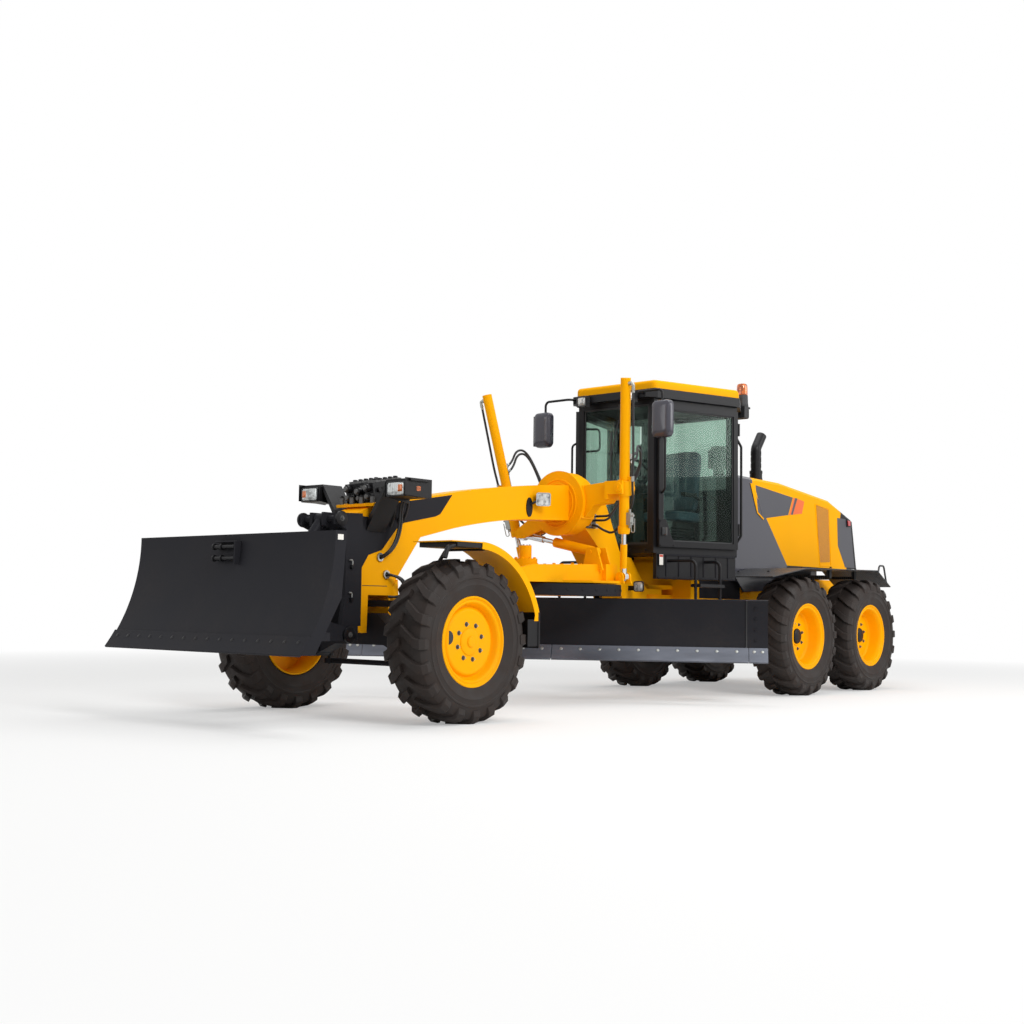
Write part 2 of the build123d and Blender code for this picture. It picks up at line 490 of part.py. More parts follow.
# ---- front axle: beam, lean brackets, knuckles, lean bar, tie rod ----
with BuildPart() as front_axle:
    beam_plane = Plane(origin=(AXLE_X, 0, 0), x_dir=(0, 1, 0), z_dir=(1, 0, 0))
    plate(beam_plane, ((-LEAN_Y, LEAN_Z - 65), (-300, LEAN_Z + 40), (300, LEAN_Z + 40),
                       (LEAN_Y, LEAN_Z - 65), (LEAN_Y, LEAN_Z + 65), (420, LEAN_Z + 150),
                       (200, AXLE_Z + 215), (-200, AXLE_Z + 215), (-420, LEAN_Z + 150),
                       (-LEAN_Y, LEAN_Z + 65)), 75)
    for side in (1, -1):
        bar((AXLE_X - 75, side * LEAN_Y, LEAN_Z), (AXLE_X + 75, side * LEAN_Y, LEAN_Z), 66)
        bar((AXLE_X - 100, side * LEAN_Y, LEAN_Z), (AXLE_X + 100, side * LEAN_Y, LEAN_Z), 32)
    bar((AXLE_X - 250, 0, AXLE_Z + 130), (AXLE_X + 265, 0, AXLE_Z + 130), PIN_R - FIT)
finish(front_axle, "front_axle")

FENDER_R = 800.0
TUBE_R = 16.0
TUBE_Z = 1402.0               # fender tube where it runs under the fender
FENDER_T = 9.0
FENDER_SPAN = (93, 128, 163)  # degrees up from straight ahead
KNUCKLE_HALF = 70.0           # knuckle height to each side of the wheel axis
for side, hand in ((1, "left"), (-1, "right")):
    with BuildPart() as lean_bracket:
        end_plane = Plane(origin=(AXLE_X, 0, 0), x_dir=(0, side, 0), z_dir=(side, 0, 0))
        for edge in (-1, 1):
            cheek = end_plane.offset(side * edge * 90)
            plate(cheek, ((LEAN_Y - 55, LEAN_Z - 50), (LEAN_Y + 40, LEAN_Z - 55),
                          (KING_Y - 66, AXLE_Z - KNUCKLE_HALF - 60),
                          (KING_Y - 66, AXLE_Z + KNUCKLE_HALF + 62),
                          (LEAN_Y + 60, LEAN_TOP_Z + 40), (LEAN_Y - 35, LEAN_TOP_Z + 40),
                          (LEAN_Y - 55, LEAN_Z + 60)), 12)
        y0, y1 = sorted((side * (KING_Y - 90), side * (KING_Y - 66)))
        block((AXLE_X - 102, AXLE_X + 102), (y0, y1),
              (AXLE_Z - KNUCKLE_HALF - 60, AXLE_Z + KNUCKLE_HALF + 62))
        for low in (AXLE_Z - KNUCKLE_HALF - 42, AXLE_Z + KNUCKLE_HALF + 6):
            block((AXLE_X - 60, AXLE_X + 60), tuple(sorted((side * (KING_Y - 67), side * KING_Y))),
                  (low, low + 36))
            bar((AXLE_X, side * KING_Y, low), (AXLE_X, side * KING_Y, low + 36), 60)
            bar((AXLE_X, side * KING_Y, low - 1), (AXLE_X, side * KING_Y, low + 37), 30 + FIT,
                Mode.SUBTRACT)
        bar((AXLE_X - 103, side * LEAN_Y, LEAN_Z), (AXLE_X + 103, side * LEAN_Y, LEAN_Z), 32 + FIT,
            Mode.SUBTRACT)
        bar((AXLE_X - 103, side * LEAN_Y, LEAN_TOP_Z), (AXLE_X + 103, side * LEAN_Y, LEAN_TOP_Z),
            24)
    finish(lean_bracket, f"lean_bracket_{hand}")

    disc = WHEELS[0][3]
    spindle_end = side * (TRACK / 2 + disc - 12)
    arm_z = TIE_Z + 75
    with BuildPart() as knuckle:
        bar((AXLE_X, side * KING_Y, AXLE_Z - KNUCKLE_HALF),
            (AXLE_X, side * KING_Y, AXLE_Z + KNUCKLE_HALF), 58)
        bar((AXLE_X, side * KING_Y, AXLE_Z - KNUCKLE_HALF - 46),
            (AXLE_X, side * KING_Y, AXLE_Z + KNUCKLE_HALF + 46), 30)
        bar((AXLE_X, side * (KING_Y + 20), AXLE_Z), (AXLE_X, spindle_end, AXLE_Z), HUB_BORE_R)
        bar((AXLE_X, side * (KING_Y + 64), AXLE_Z), (AXLE_X, side * (TRACK / 2 + disc - 96), AXLE_Z),
            HUB_BORE_R + 22)
        # steering arm back to the tie rod
        block((AXLE_X - 45, AXLE_X + 45), tuple(sorted((side * (KING_Y - 35), side * (KING_Y + 35)))),
              (arm_z - 2, AXLE_Z - KNUCKLE_HALF - 48))
        bar((AXLE_X, side * KING_Y, arm_z - 30), (AXLE_X, side * KING_Y, AXLE_Z - KNUCKLE_HALF - 46),
            30)
        block((TIE_X, AXLE_X), tuple(sorted((side * (KING_Y - 28), side * (KING_Y + 28)))),
              (arm_z - 30, arm_z))
        bar((TIE_X, side * KING_Y, arm_z - 30), (TIE_X, side * KING_Y, arm_z), 40)
        bar((TIE_X, side * KING_Y, TIE_Z - 30), (TIE_X, side * KING_Y, arm_z), 16)
        # bracket of the fender
        post_y = side * (KING_Y + 87)
        bent_tube(((AXLE_X, post_y, AXLE_Z + 40), (AXLE_X, post_y, TUBE_Z - 150),
                   (AXLE_X - 120, post_y, TUBE_Z),
                   (AXLE_X - 120, side * (TRACK / 2 + 170), TUBE_Z)), TUBE_R, 40)
    finish(knuckle, f"knuckle_{hand}")

    inner, outer = side * (TRACK / 2 - 205), side * (TRACK / 2 + 225)
    with BuildPart() as front_fender:
        arc_plane = Plane(origin=(AXLE_X, inner, AXLE_Z), x_dir=(1, 0, 0), z_dir=(0, -1, 0))
        rim, under = [
            [(r * cos(radians(a)), r * sin(radians(a))) for a in FENDER_SPAN]
            for r in (FENDER_R, FENDER_R - FENDER_T)
        ]
        with BuildSketch(arc_plane) as arc_strip:
            with BuildLine():
                ThreePointArc(*rim)
                Line(rim[2], under[2])
                ThreePointArc(*under[::-1])
                Line(under[0], rim[0])
            make_face()
        extrude(arc_strip.sketch, amount=inner - outer)
        flap_x = AXLE_X + rim[2][0]
        flap_z = AXLE_Z + rim[2][1]
        block((flap_x - 2, flap_x + 10), tuple(sorted((inner, outer))), (flap_z - 240, flap_z + 8))
        pad = tuple(sorted((inner + side * 70, outer)))
        block((AXLE_X - 150, AXLE_X - 90), pad, (TUBE_Z + 2, TUBE_Z + 38))
        bar((AXLE_X - 120, inner, TUBE_Z), (AXLE_X - 120, outer, TUBE_Z), TUBE_R + SEAT_GAP,
            Mode.SUBTRACT)
    finish(front_fender, f"front_fender_{hand}")

with BuildPart() as lean_bar:
    block((AXLE_X - 30, AXLE_X + 30), (-LEAN_Y, LEAN_Y), (LEAN_TOP_Z - 28, LEAN_TOP_Z + 28))
    for side in (1, -1):
        bar((AXLE_X - 70, side * LEAN_Y, LEAN_TOP_Z), (AXLE_X + 70, side * LEAN_Y, LEAN_TOP_Z), 38)
        bar((AXLE_X - 71, side * LEAN_Y, LEAN_TOP_Z), (AXLE_X + 71, side * LEAN_Y, LEAN_TOP_Z),
            24 + FIT, Mode.SUBTRACT)
finish(lean_bar, "lean_bar")

TIE_SLACK = 5.0               # the rod's right eye sits this far in, to share the drift of the lean
with BuildPart() as tie_rod_cross:
    block((TIE_X - 28, TIE_X + 28), (KING_Y - 28, KING_Y + 28), (TIE_Z - 26, TIE_Z + 26))
    bar((TIE_X - 50, KING_Y, TIE_Z), (TIE_X + 50, KING_Y, TIE_Z), 13)
    bar((TIE_X, KING_Y, TIE_Z - 27), (TIE_X, KING_Y, TIE_Z + 27), 16 + FIT, Mode.SUBTRACT)
finish(tie_rod_cross, "tie_rod_cross")
with BuildPart() as tie_rod:
    bar((TIE_X, TIE_SLACK - KING_Y + 31, TIE_Z), (TIE_X, KING_Y - 60, TIE_Z), 24)
    block((TIE_X - 50, TIE_X + 50), (KING_Y - 75, KING_Y - 55), (TIE_Z - 26, TIE_Z + 26))
    for edge in (-1, 1):
        x0, x1 = sorted((TIE_X + edge * 36, TIE_X + edge * 50))
        block((x0, x1), (KING_Y - 60, KING_Y), (TIE_Z - 26, TIE_Z + 26))
        bar((x0, KING_Y, TIE_Z), (x1, KING_Y, TIE_Z), 26)
    bar((TIE_X - 51, KING_Y, TIE_Z), (TIE_X + 51, KING_Y, TIE_Z), 13 + FIT, Mode.SUBTRACT)
    bar((TIE_X, TIE_SLACK - KING_Y, TIE_Z - 22), (TIE_X, TIE_SLACK - KING_Y, TIE_Z + 22), 46)
    bar((TIE_X, TIE_SLACK - KING_Y, TIE_Z - 23), (TIE_X, TIE_SLACK - KING_Y, TIE_Z + 23), 31,
        Mode.SUBTRACT)
finish(tie_rod, "tie_rod")

# ---- nose fittings: valve block, headlamps, dozer mount ----
with BuildPart() as valve_block:
    slope = (NOSE_TOP[1][1] - NOSE_TOP[0][1]) / (NOSE_TOP[0][0] - NOSE_TOP[1][0])
    top = Plane(origin=(AXLE_X - 100, 0, NOSE_TOP[0][1] + (NOSE_TOP[0][0] - AXLE_X + 100) * slope),
                x_dir=(1, 0, -slope), z_dir=(slope, 0, 1))
    with BuildSketch(top) as tray:
        Rectangle(520, 460)
    extrude(tray.sketch, amount=22)
    for row, (y, length, height) in enumerate(((-120, 330, 170), (0, 300, 130), (120, 330, 170))):
        with BuildSketch(top.offset(22)) as foot:
            with Locations((20, y)):
                Rectangle(length, 105)
        extrude(foot.sketch, amount=height)
finish(valve_block, "valve_block")

LAMP_Z = (1835.0, 1965.0)
with BuildPart() as headlamps:
    for side in (1, -1):
        y0, y1 = sorted((side * 420, side * 660))
        block((AXLE_X - 90, AXLE_X + 190), (y0, y1), LAMP_Z)
        # folded bracket: roof plate over the lamp, cheek down to the nose
        lean = Plane(origin=(AXLE_X + 60, 0, 0), x_dir=(0, side, 0), z_dir=(side, 0, 0))
        plate(lean, ((BEAM_HALF + 14, 1560), (BEAM_HALF + 14, 1640), (400, LAMP_Z[1] + 20),
                     (690, LAMP_Z[1] + 20), (690, LAMP_Z[1]), (420, LAMP_Z[1])), 110)
finish(headlamps, "headlamps")

MOUNT_X = (NOSE_FRONT_X, AXLE_X + 430.0)
MOUNT_HALF = DOZER_ARM_Y - 2
with BuildPart() as dozer_mount:
    for side in (1, -1):
        y0, y1 = sorted((side * BEAM_HALF, side * (BEAM_HALF + 14)))
        side_plate(((MOUNT_X[0] + 10, 1130), (MOUNT_X[0] + 10, 1690), (AXLE_X + 150, 1680),
                    (AXLE_X + 110, 1400)), y0, y1)
        y0, y1 = sorted((side * (DOZER_ARM_Y - 42), side * (DOZER_ARM_Y - 2)))
        side_plate(((MOUNT_X[0] + 30, 640), (DOZER_PIN[0] + 45, 640), (DOZER_PIN[0] + 50, 740),
                    (MOUNT_X[1] + 30, 1000), (MOUNT_X[1] + 30, 1560), (DOZER_TOP_PIN[0] + 50, 1600),
                    (DOZER_TOP_PIN[0] + 50, 1690), (MOUNT_X[0] + 30, 1700)), y0, y1)
    block(MOUNT_X, (-MOUNT_HALF, MOUNT_HALF), (1130, 1560))
    block((MOUNT_X[0], MOUNT_X[0] + 30), (-MOUNT_HALF, MOUNT_HALF), (760, 1700))
    block((MOUNT_X[0] + 30, MOUNT_X[1]), (-MOUNT_HALF, MOUNT_HALF), (640, 700))
    for side in (1, -1):
        y0, y1 = sorted((side * 60, side * 90))
        side_plate(((MOUNT_X[1] - 10, 1540), (DOZER_TOP_PIN[0] + 60, 1590),
                    (DOZER_TOP_PIN[0] + 60, 1700), (MOUNT_X[0] + 20, 1700),
                    (MOUNT_X[0] + 20, 1540)), y0, y1)
    cross_pin(DOZER_TOP_PIN[0], DOZER_TOP_PIN[1], -MOUNT_HALF - 10, MOUNT_HALF + 10, 28)
    cross_pin(DOZER_PIN[0], DOZER_PIN[1], -DOZER_ARM_Y - 54, DOZER_ARM_Y + 54, 28)
finish(dozer_mount, "dozer_mount")

# ---- dozer blade with its push arms, lift cylinder ----
with BuildPart() as dozer_blade:
    start = DOZER_W / 2
    blade_plane = Plane(origin=(DOZER_FACE_X, start, 0), x_dir=(1, 0, 0), z_dir=(0, -1, 0))
    low, mid, high = (270, DOZER_LOW_Z), (30, DOZER_LOW_Z + 470), (-30, DOZER_LOW_Z + DOZER_H)
    with BuildSketch(blade_plane) as curve:
        with BuildLine():
            ThreePointArc(low, mid, high)
            Line(high, (high[0] - DOZER_T, high[1]))
            ThreePointArc((high[0] - DOZER_T, high[1]), (mid[0] - DOZER_T, mid[1]),
                          (low[0] - 22, low[1]))
            Line((low[0] - 22, low[1]), low)
        make_face()
    extrude(curve.sketch, amount=DOZER_W)
    for side in (1, -1):
        # end plates
        y0, y1 = sorted((side * (start - 12), side * start))
        plane = Plane(origin=(DOZER_FACE_X, y0, 0), x_dir=(1, 0, 0), z_dir=(0, -1, 0))
        with BuildSketch(plane) as cheek:
            with BuildLine():
                ThreePointArc(low, mid, high)
                Line(high, (high[0] - 110, high[1]))
                Line((high[0] - 110, high[1]), (mid[0] - 130, mid[1] - 60))
                Line((mid[0] - 130, mid[1] - 60), (low[0] - 130, low[1]))
                Line((low[0] - 130, low[1]), low)
            make_face()
        extrude(cheek.sketch, amount=y0 - y1)
        # push arms
        y0, y1 = sorted((side * (DOZER_ARM_Y + 4), side * (DOZER_ARM_Y + 42)))
        side_plate(((DOZER_PIN[0] - 50, 640), (DOZER_PIN[0] - 50, 740), (DOZER_PIN[0] + 60, 760),
                    (DOZER_FACE_X - 20, 1010), (DOZER_FACE_X + 40, 720), (DOZER_FACE_X + 120, 640)),
                   y0, y1)
        y0, y1 = sorted((side * 45, side * 70))
        side_plate(((DOZER_ROD_PIN[0] - 50, 760), (DOZER_ROD_PIN[0] - 30, 850),
                    (DOZER_FACE_X + 5, 1000), (DOZER_FACE_X + 60, 700),
                    (DOZER_ROD_PIN[0] - 40, 740)), y0, y1)
    for z, reach in ((700, 90), (1030, 20), (1330, -36)):
        block((DOZER_FACE_X - 60, DOZER_FACE_X + reach),
              (-start + 70, start - 70), (z - 30, z + 30))
    cross_pin(DOZER_PIN[0], DOZER_PIN[1], -400, 400, 28 + FIT, Mode.SUBTRACT)
    cross_pin(DOZER_ROD_PIN[0], DOZER_ROD_PIN[1], -75, 75, 22)
finish(dozer_blade, "dozer_blade")

TOP3 = (DOZER_TOP_PIN[0], 0.0, DOZER_TOP_PIN[1])
ROD3 = (DOZER_ROD_PIN[0], 0.0, DOZER_ROD_PIN[1])
DOZER_LEN = (Vector(*ROD3) - Vector(*TOP3)).length
with BuildPart() as dozer_barrel:
    cross_pin(TOP3[0], TOP3[2], -50, 50, 50)
    bar(along(TOP3, ROD3, 30), along(TOP3, ROD3, 640), 45)
    bar(along(TOP3, ROD3, 90), along(TOP3, ROD3, 641), ROD_R + FIT, Mode.SUBTRACT)
    cross_pin(TOP3[0], TOP3[2], -51, 51, 28 + FIT, Mode.SUBTRACT)
finish(dozer_barrel, "dozer_cylinder")
with BuildPart() as dozer_rod:
    bar(along(TOP3, ROD3, 200), along(TOP3, ROD3, DOZER_LEN - 25), ROD_R)
    cross_pin(ROD3[0], ROD3[2], -38, 38, 40)
    cross_pin(ROD3[0], ROD3[2], -39, 39, 28, Mode.SUBTRACT)
finish(dozer_rod, "dozer_cylinder_rod")

# ---- rear frame with hitch, rails and crossmembers ----
FRAME_Y = 330.0
FRAME_TOP = 1330.0
with BuildPart() as rear_frame:
    for side in (1, -1):
        y0, y1 = sorted((side * FRAME_Y, side * (FRAME_Y + 60)))
        side_plate(((PIVOT_X - 330, 900), (PIVOT_X - 330, FRAME_TOP + 130), (PIVOT_X - 700, FRAME_TOP + 130),
                    (PIVOT_X - 900, FRAME_TOP), (AXLE_X - 8300, FRAME_TOP), (AXLE_X - 8300, 1000),
                    (AXLE_X - 7900, 900)), y0, y1)
    block((PIVOT_X - 390, PIVOT_X - 330), (-FRAME_Y - 60, FRAME_Y + 60), (640, FRAME_TOP + 130))
    for x in (AXLE_X - 5600, AXLE_X - 7000, AXLE_X - 8300):
        block((x - 30, x + 30), (-FRAME_Y, FRAME_Y), (960, 1180))
    for low, high in ((HITCH_TOP[0] - 46, HITCH_TOP[0] - 1), (HITCH_TOP[1] + 1, HITCH_TOP[1] + 46),
                      (HITCH_LOW[0] - 46, HITCH_LOW[0] - 1), (HITCH_LOW[1] + 1, HITCH_LOW[1] + 46)):
        block((PIVOT_X - 331, PIVOT_X), (-150, 150), (low, high))
        bar((PIVOT_X, 0, low), (PIVOT_X, 0, high), 150)
    bar((PIVOT_X, 0, HITCH_TOP[0] - 60), (PIVOT_X, 0, HITCH_TOP[1] + 60), PIN_R)
    bar((PIVOT_X, 0, HITCH_LOW[0] - 60), (PIVOT_X, 0, HITCH_LOW[1] + 60), PIN_R)
    # cab cradle
    for x in (PIVOT_X - 390, AXLE_X - 5000):
        block((x - 40, x + 40), (-FRAME_Y - 60, FRAME_Y + 60), (FRAME_TOP, CAB_UNDER_Z))
finish(rear_frame, "rear_frame")

with BuildPart() as rear_axle:
    for side in (1, -1):
        y0, y1 = sorted((side * 600, side * 780))
        case = Plane(origin=(TANDEM_X, y0, AXLE_Z + 20), x_dir=(1, 0, 0), z_dir=(0, -1, 0))
        with BuildSketch(case) as outline:
            SlotCenterToCenter(TANDEM_BASE - 60, 430)
        extrude(outline.sketch, amount=y0 - y1)
        for x in (MID_X, REAR_X):
            bar((x, side * 779, AXLE_Z), (x, side * (TRACK / 2 - 110 - 12), AXLE_Z), HUB_BORE_R)
            bar((x, side * 779, AXLE_Z), (x, side * (TRACK / 2 - 110 - 96), AXLE_Z), HUB_BORE_R + 25)
    bar((TANDEM_X, -601, AXLE_Z + 60), (TANDEM_X, 601, AXLE_Z + 60), 165)
    for side in (1, -1):
        y0, y1 = sorted((side * (FRAME_Y - 40), side * (FRAME_Y + 100)))
        block((TANDEM_X - 170, TANDEM_X + 170), (y0, y1), (AXLE_Z + 180, 900))
    block((TANDEM_X - 190, TANDEM_X + 190), (-200, 200), (AXLE_Z - 120, AXLE_Z + 240))
finish(rear_axle, "rear_axle")

with BuildPart() as engine:
    block((AXLE_X - 7500, AXLE_X - 7500 + ENGINE_BOX[0]), (-ENGINE_BOX[1] / 2, ENGINE_BOX[1] / 2),
          (FRAME_TOP, FRAME_TOP + ENGINE_BOX[2]))
    block((AXLE_X - 7450, AXLE_X - 6200), (-FRAME_Y, FRAME_Y), (FRAME_TOP - 150, FRAME_TOP + 5))
finish(engine, "engine")

# ---- engine cover: one shell, parted into black front cowl, yellow hood and black tail ----
COVER = ((AXLE_X - 5085, 1500), (AXLE_X - 5110, 2300), (AXLE_X - 5340, 2490), (AXLE_X - 6340, 2470),
         (AXLE_X - 7600, 2340), (AXLE_X - 8200, 2140), (AXLE_X - 8330, 1490), (AXLE_X - 8080, 1480),
         (AXLE_X - 6500, 1480), (AXLE_X - 6330, 1180), (AXLE_X - 5500, 1145))
COVER_WALL = 20.0
SEAM = ((AXLE_X - 5680, 2600), (AXLE_X - 5680, 2380), (AXLE_X - 6500, 1478), (AXLE_X - 6500, 1000))
TAIL_SEAM = ((AXLE_X - 7840, 2400), (AXLE_X - 7900, 2200), (AXLE_X - 7870, 2090), (AXLE_X - 8080, 1400))
AHEAD = (AXLE_X - 4900, AXLE_X - 8500)   # reach of the parting outlines
STACK = (AXLE_X - 6200, 200.0)
STACK_R = 75.0
CLEANER = (AXLE_X - 5870, -120.0)
CLEANER_R = 70.0
# name, outline that keeps this panel of the cover
PANELS = (
    ("front_cowl", ((AHEAD[0], 2600), *SEAM, (AHEAD[0], 1000))),
    ("engine_hood", (*SEAM, *TAIL_SEAM[::-1])),
    ("tail_grille", (*TAIL_SEAM, (AHEAD[1], 1400), (AHEAD[1], 2400))),
)
for label, outline in PANELS:
    with BuildPart() as panel:
        side_plate(COVER, -HOOD_HALF, HOOD_HALF)
        top_edges = panel.edges().filter_by(
            lambda e: e.center().Z > 2200 and abs(abs(e.center().Y) - HOOD_HALF) < 1)
        chamfer(top_edges, 32)
        with BuildSketch(Plane.XZ) as hollow:
            with BuildLine():
                Polyline(*COVER, close=True)
            make_face()
            offset(amount=-COVER_WALL, kind=Kind.INTERSECTION, mode=Mode.REPLACE)
        extrude(hollow.sketch, amount=HOOD_HALF - COVER_WALL, both=True, mode=Mode.SUBTRACT)
        # open underneath
        side_plate(((AXLE_X - 4900, 1000), (AXLE_X - 4900, 1530), (AXLE_X - 8260, 1530),
                    (AXLE_X - 8260, 1000)),
                   -HOOD_HALF + COVER_WALL, HOOD_HALF - COVER_WALL, Mode.SUBTRACT)
        for at, radius in ((STACK, STACK_R), (CLEANER, CLEANER_R)):
            bar((*at, 2300), (*at, 2600), radius + SEAT_GAP, Mode.SUBTRACT)
        side_plate(outline, -HOOD_HALF - 1, HOOD_HALF + 1, Mode.INTERSECT)
        if label == "tail_grille":
            # louvres let the cooling air out
            for step in range(7):
                z = 1580 + 75 * step
                block((AXLE_X - 8400, AXLE_X - 8190), (-360, 360), (z, z + 38), Mode.SUBTRACT)
    finish(panel, label)

ENGINE_TOP = FRAME_TOP + ENGINE_BOX[2]
with BuildPart() as exhaust_stack:
    bar((*STACK, ENGINE_TOP), (*STACK, 2620), STACK_R)
    bent_tube(((*STACK, 2600), (*STACK, 2890), (STACK[0] - 130, STACK[1], 3060)), 62, 90)
finish(exhaust_stack, "exhaust_stack")
with BuildPart() as precleaner:
    bar((*CLEANER, 2200), (*CLEANER, 2680), CLEANER_R)
    bar((*CLEANER, 2640), (*CLEANER, 2860), 125)
    bar((*CLEANER, 2859), (*CLEANER, 2900), 95)
    block((CLEANER[0] - 260, CLEANER[0] + 60), (CLEANER[1] - 60, CLEANER[1] + 60), (2080, 2210))
finish(precleaner, "air_precleaner")

# ---- rear fenders, bumper ----
FENDER_OUT = 1230.0
TOW_X = AXLE_X - 8590.0
TOW_R = 20.0
with BuildPart() as rear_fenders:
    for side in (1, -1):
        y0, y1 = sorted((side * (HOOD_HALF + 30), side * FENDER_OUT))
        side_plate(((AXLE_X - 4800, 1303), (AXLE_X - 5560, 1415), (AXLE_X - 7330, 1440),
                    (AXLE_X - 7690, 1249), (AXLE_X - 7684, 1241), (AXLE_X - 7328, 1430),
                    (AXLE_X - 5560, 1405), (AXLE_X - 4800, 1293)), y0, y1)
        bent_tube(((AXLE_X - 7640, side * (FENDER_OUT - 30), 1268),
                   (AXLE_X - 7560, side * (FENDER_OUT - 30), 1500),
                   (AXLE_X - 7440, side * (FENDER_OUT - 30), 1500),
                   (AXLE_X - 7400, side * (FENDER_OUT - 30), 1396)), 11, 40)
        # brackets in from the frame rail
        for x in (AXLE_X - 6560, AXLE_X - 7200):
            y0, y1 = sorted((side * (FRAME_Y + 60), side * 1000))
            block((x - 25, x + 25), (y0, y1), (1340 - 15, 1340 + 20))
            y0, y1 = sorted((side * 960, side * 1000))
            block((x - 25, x + 25), (y0, y1), (1340, 1424))
finish(rear_fenders, "rear_fenders")

with BuildPart() as rear_bumper:
    with BuildSketch(Plane.XY.offset(860)) as bumper_plan:
        with BuildLine():
            Polyline((AXLE_X - 8330, -700), (AXLE_X - 8330, 700), (AXLE_X - 8520, 700),
                     (AXLE_X - 8640, 560), (AXLE_X - 8640, -560), (AXLE_X - 8520, -700), close=True)
        make_face()
    extrude(bumper_plan.sketch, amount=350)
    fillet(rear_bumper.edges().filter_by(Axis.Z), 40)
    # tow bar pocket with its pin hole
    block((AXLE_X - 8641, AXLE_X - 8520), (-80, 80), (990, 1080), Mode.SUBTRACT)
    bar((TOW_X, 0, 859), (TOW_X, 0, 1211), TOW_R, Mode.SUBTRACT)
finish(rear_bumper, "rear_bumper")

# ---- cab ----
def plan(front_half, rear_half, back_half, grow=0.0):
    """Cab outline seen from above: tapered to the front, narrow bay at the back."""
    return ((CAB_FRONT_X + grow, -front_half - grow), (CAB_FRONT_X + grow, front_half + grow),
            (CAB_REAR_X, rear_half + grow), (CAB_BACK_X - grow, back_half + grow),
            (CAB_BACK_X - grow, -back_half - grow), (CAB_REAR_X, -rear_half - grow))


CAB_PLAN = (CAB_FRONT_HALF, CAB_REAR_HALF, CAB_BACK_HALF)


def prism(outline, low, high, mode=Mode.ADD):
    with BuildSketch(Plane.XY.offset(low)) as base:
        with BuildLine():
            Polyline(*outline, close=True)
        make_face()
    extrude(base.sketch, amount=high - low, mode=mode)


# direction of the left side wall, front to rear
SIDE_RUN = Vector(CAB_REAR_X - CAB_FRONT_X, CAB_REAR_HALF - CAB_FRONT_HALF, 0)
SIDE_LEN = SIDE_RUN.length
SIDE_ANGLE = atan2(CAB_REAR_HALF - CAB_FRONT_HALF, CAB_FRONT_X - CAB_REAR_X)


def wall(side):
    """Plane of a side wall: x runs from the front post back, z points out of the cab."""
    run = (SIDE_RUN.X / SIDE_LEN, side * SIDE_RUN.Y / SIDE_LEN, 0)
    out = (sin(SIDE_ANGLE), side * cos(SIDE_ANGLE), 0)
    return Plane(origin=(CAB_FRONT_X, side * CAB_FRONT_HALF, 0), x_dir=run, z_dir=out)


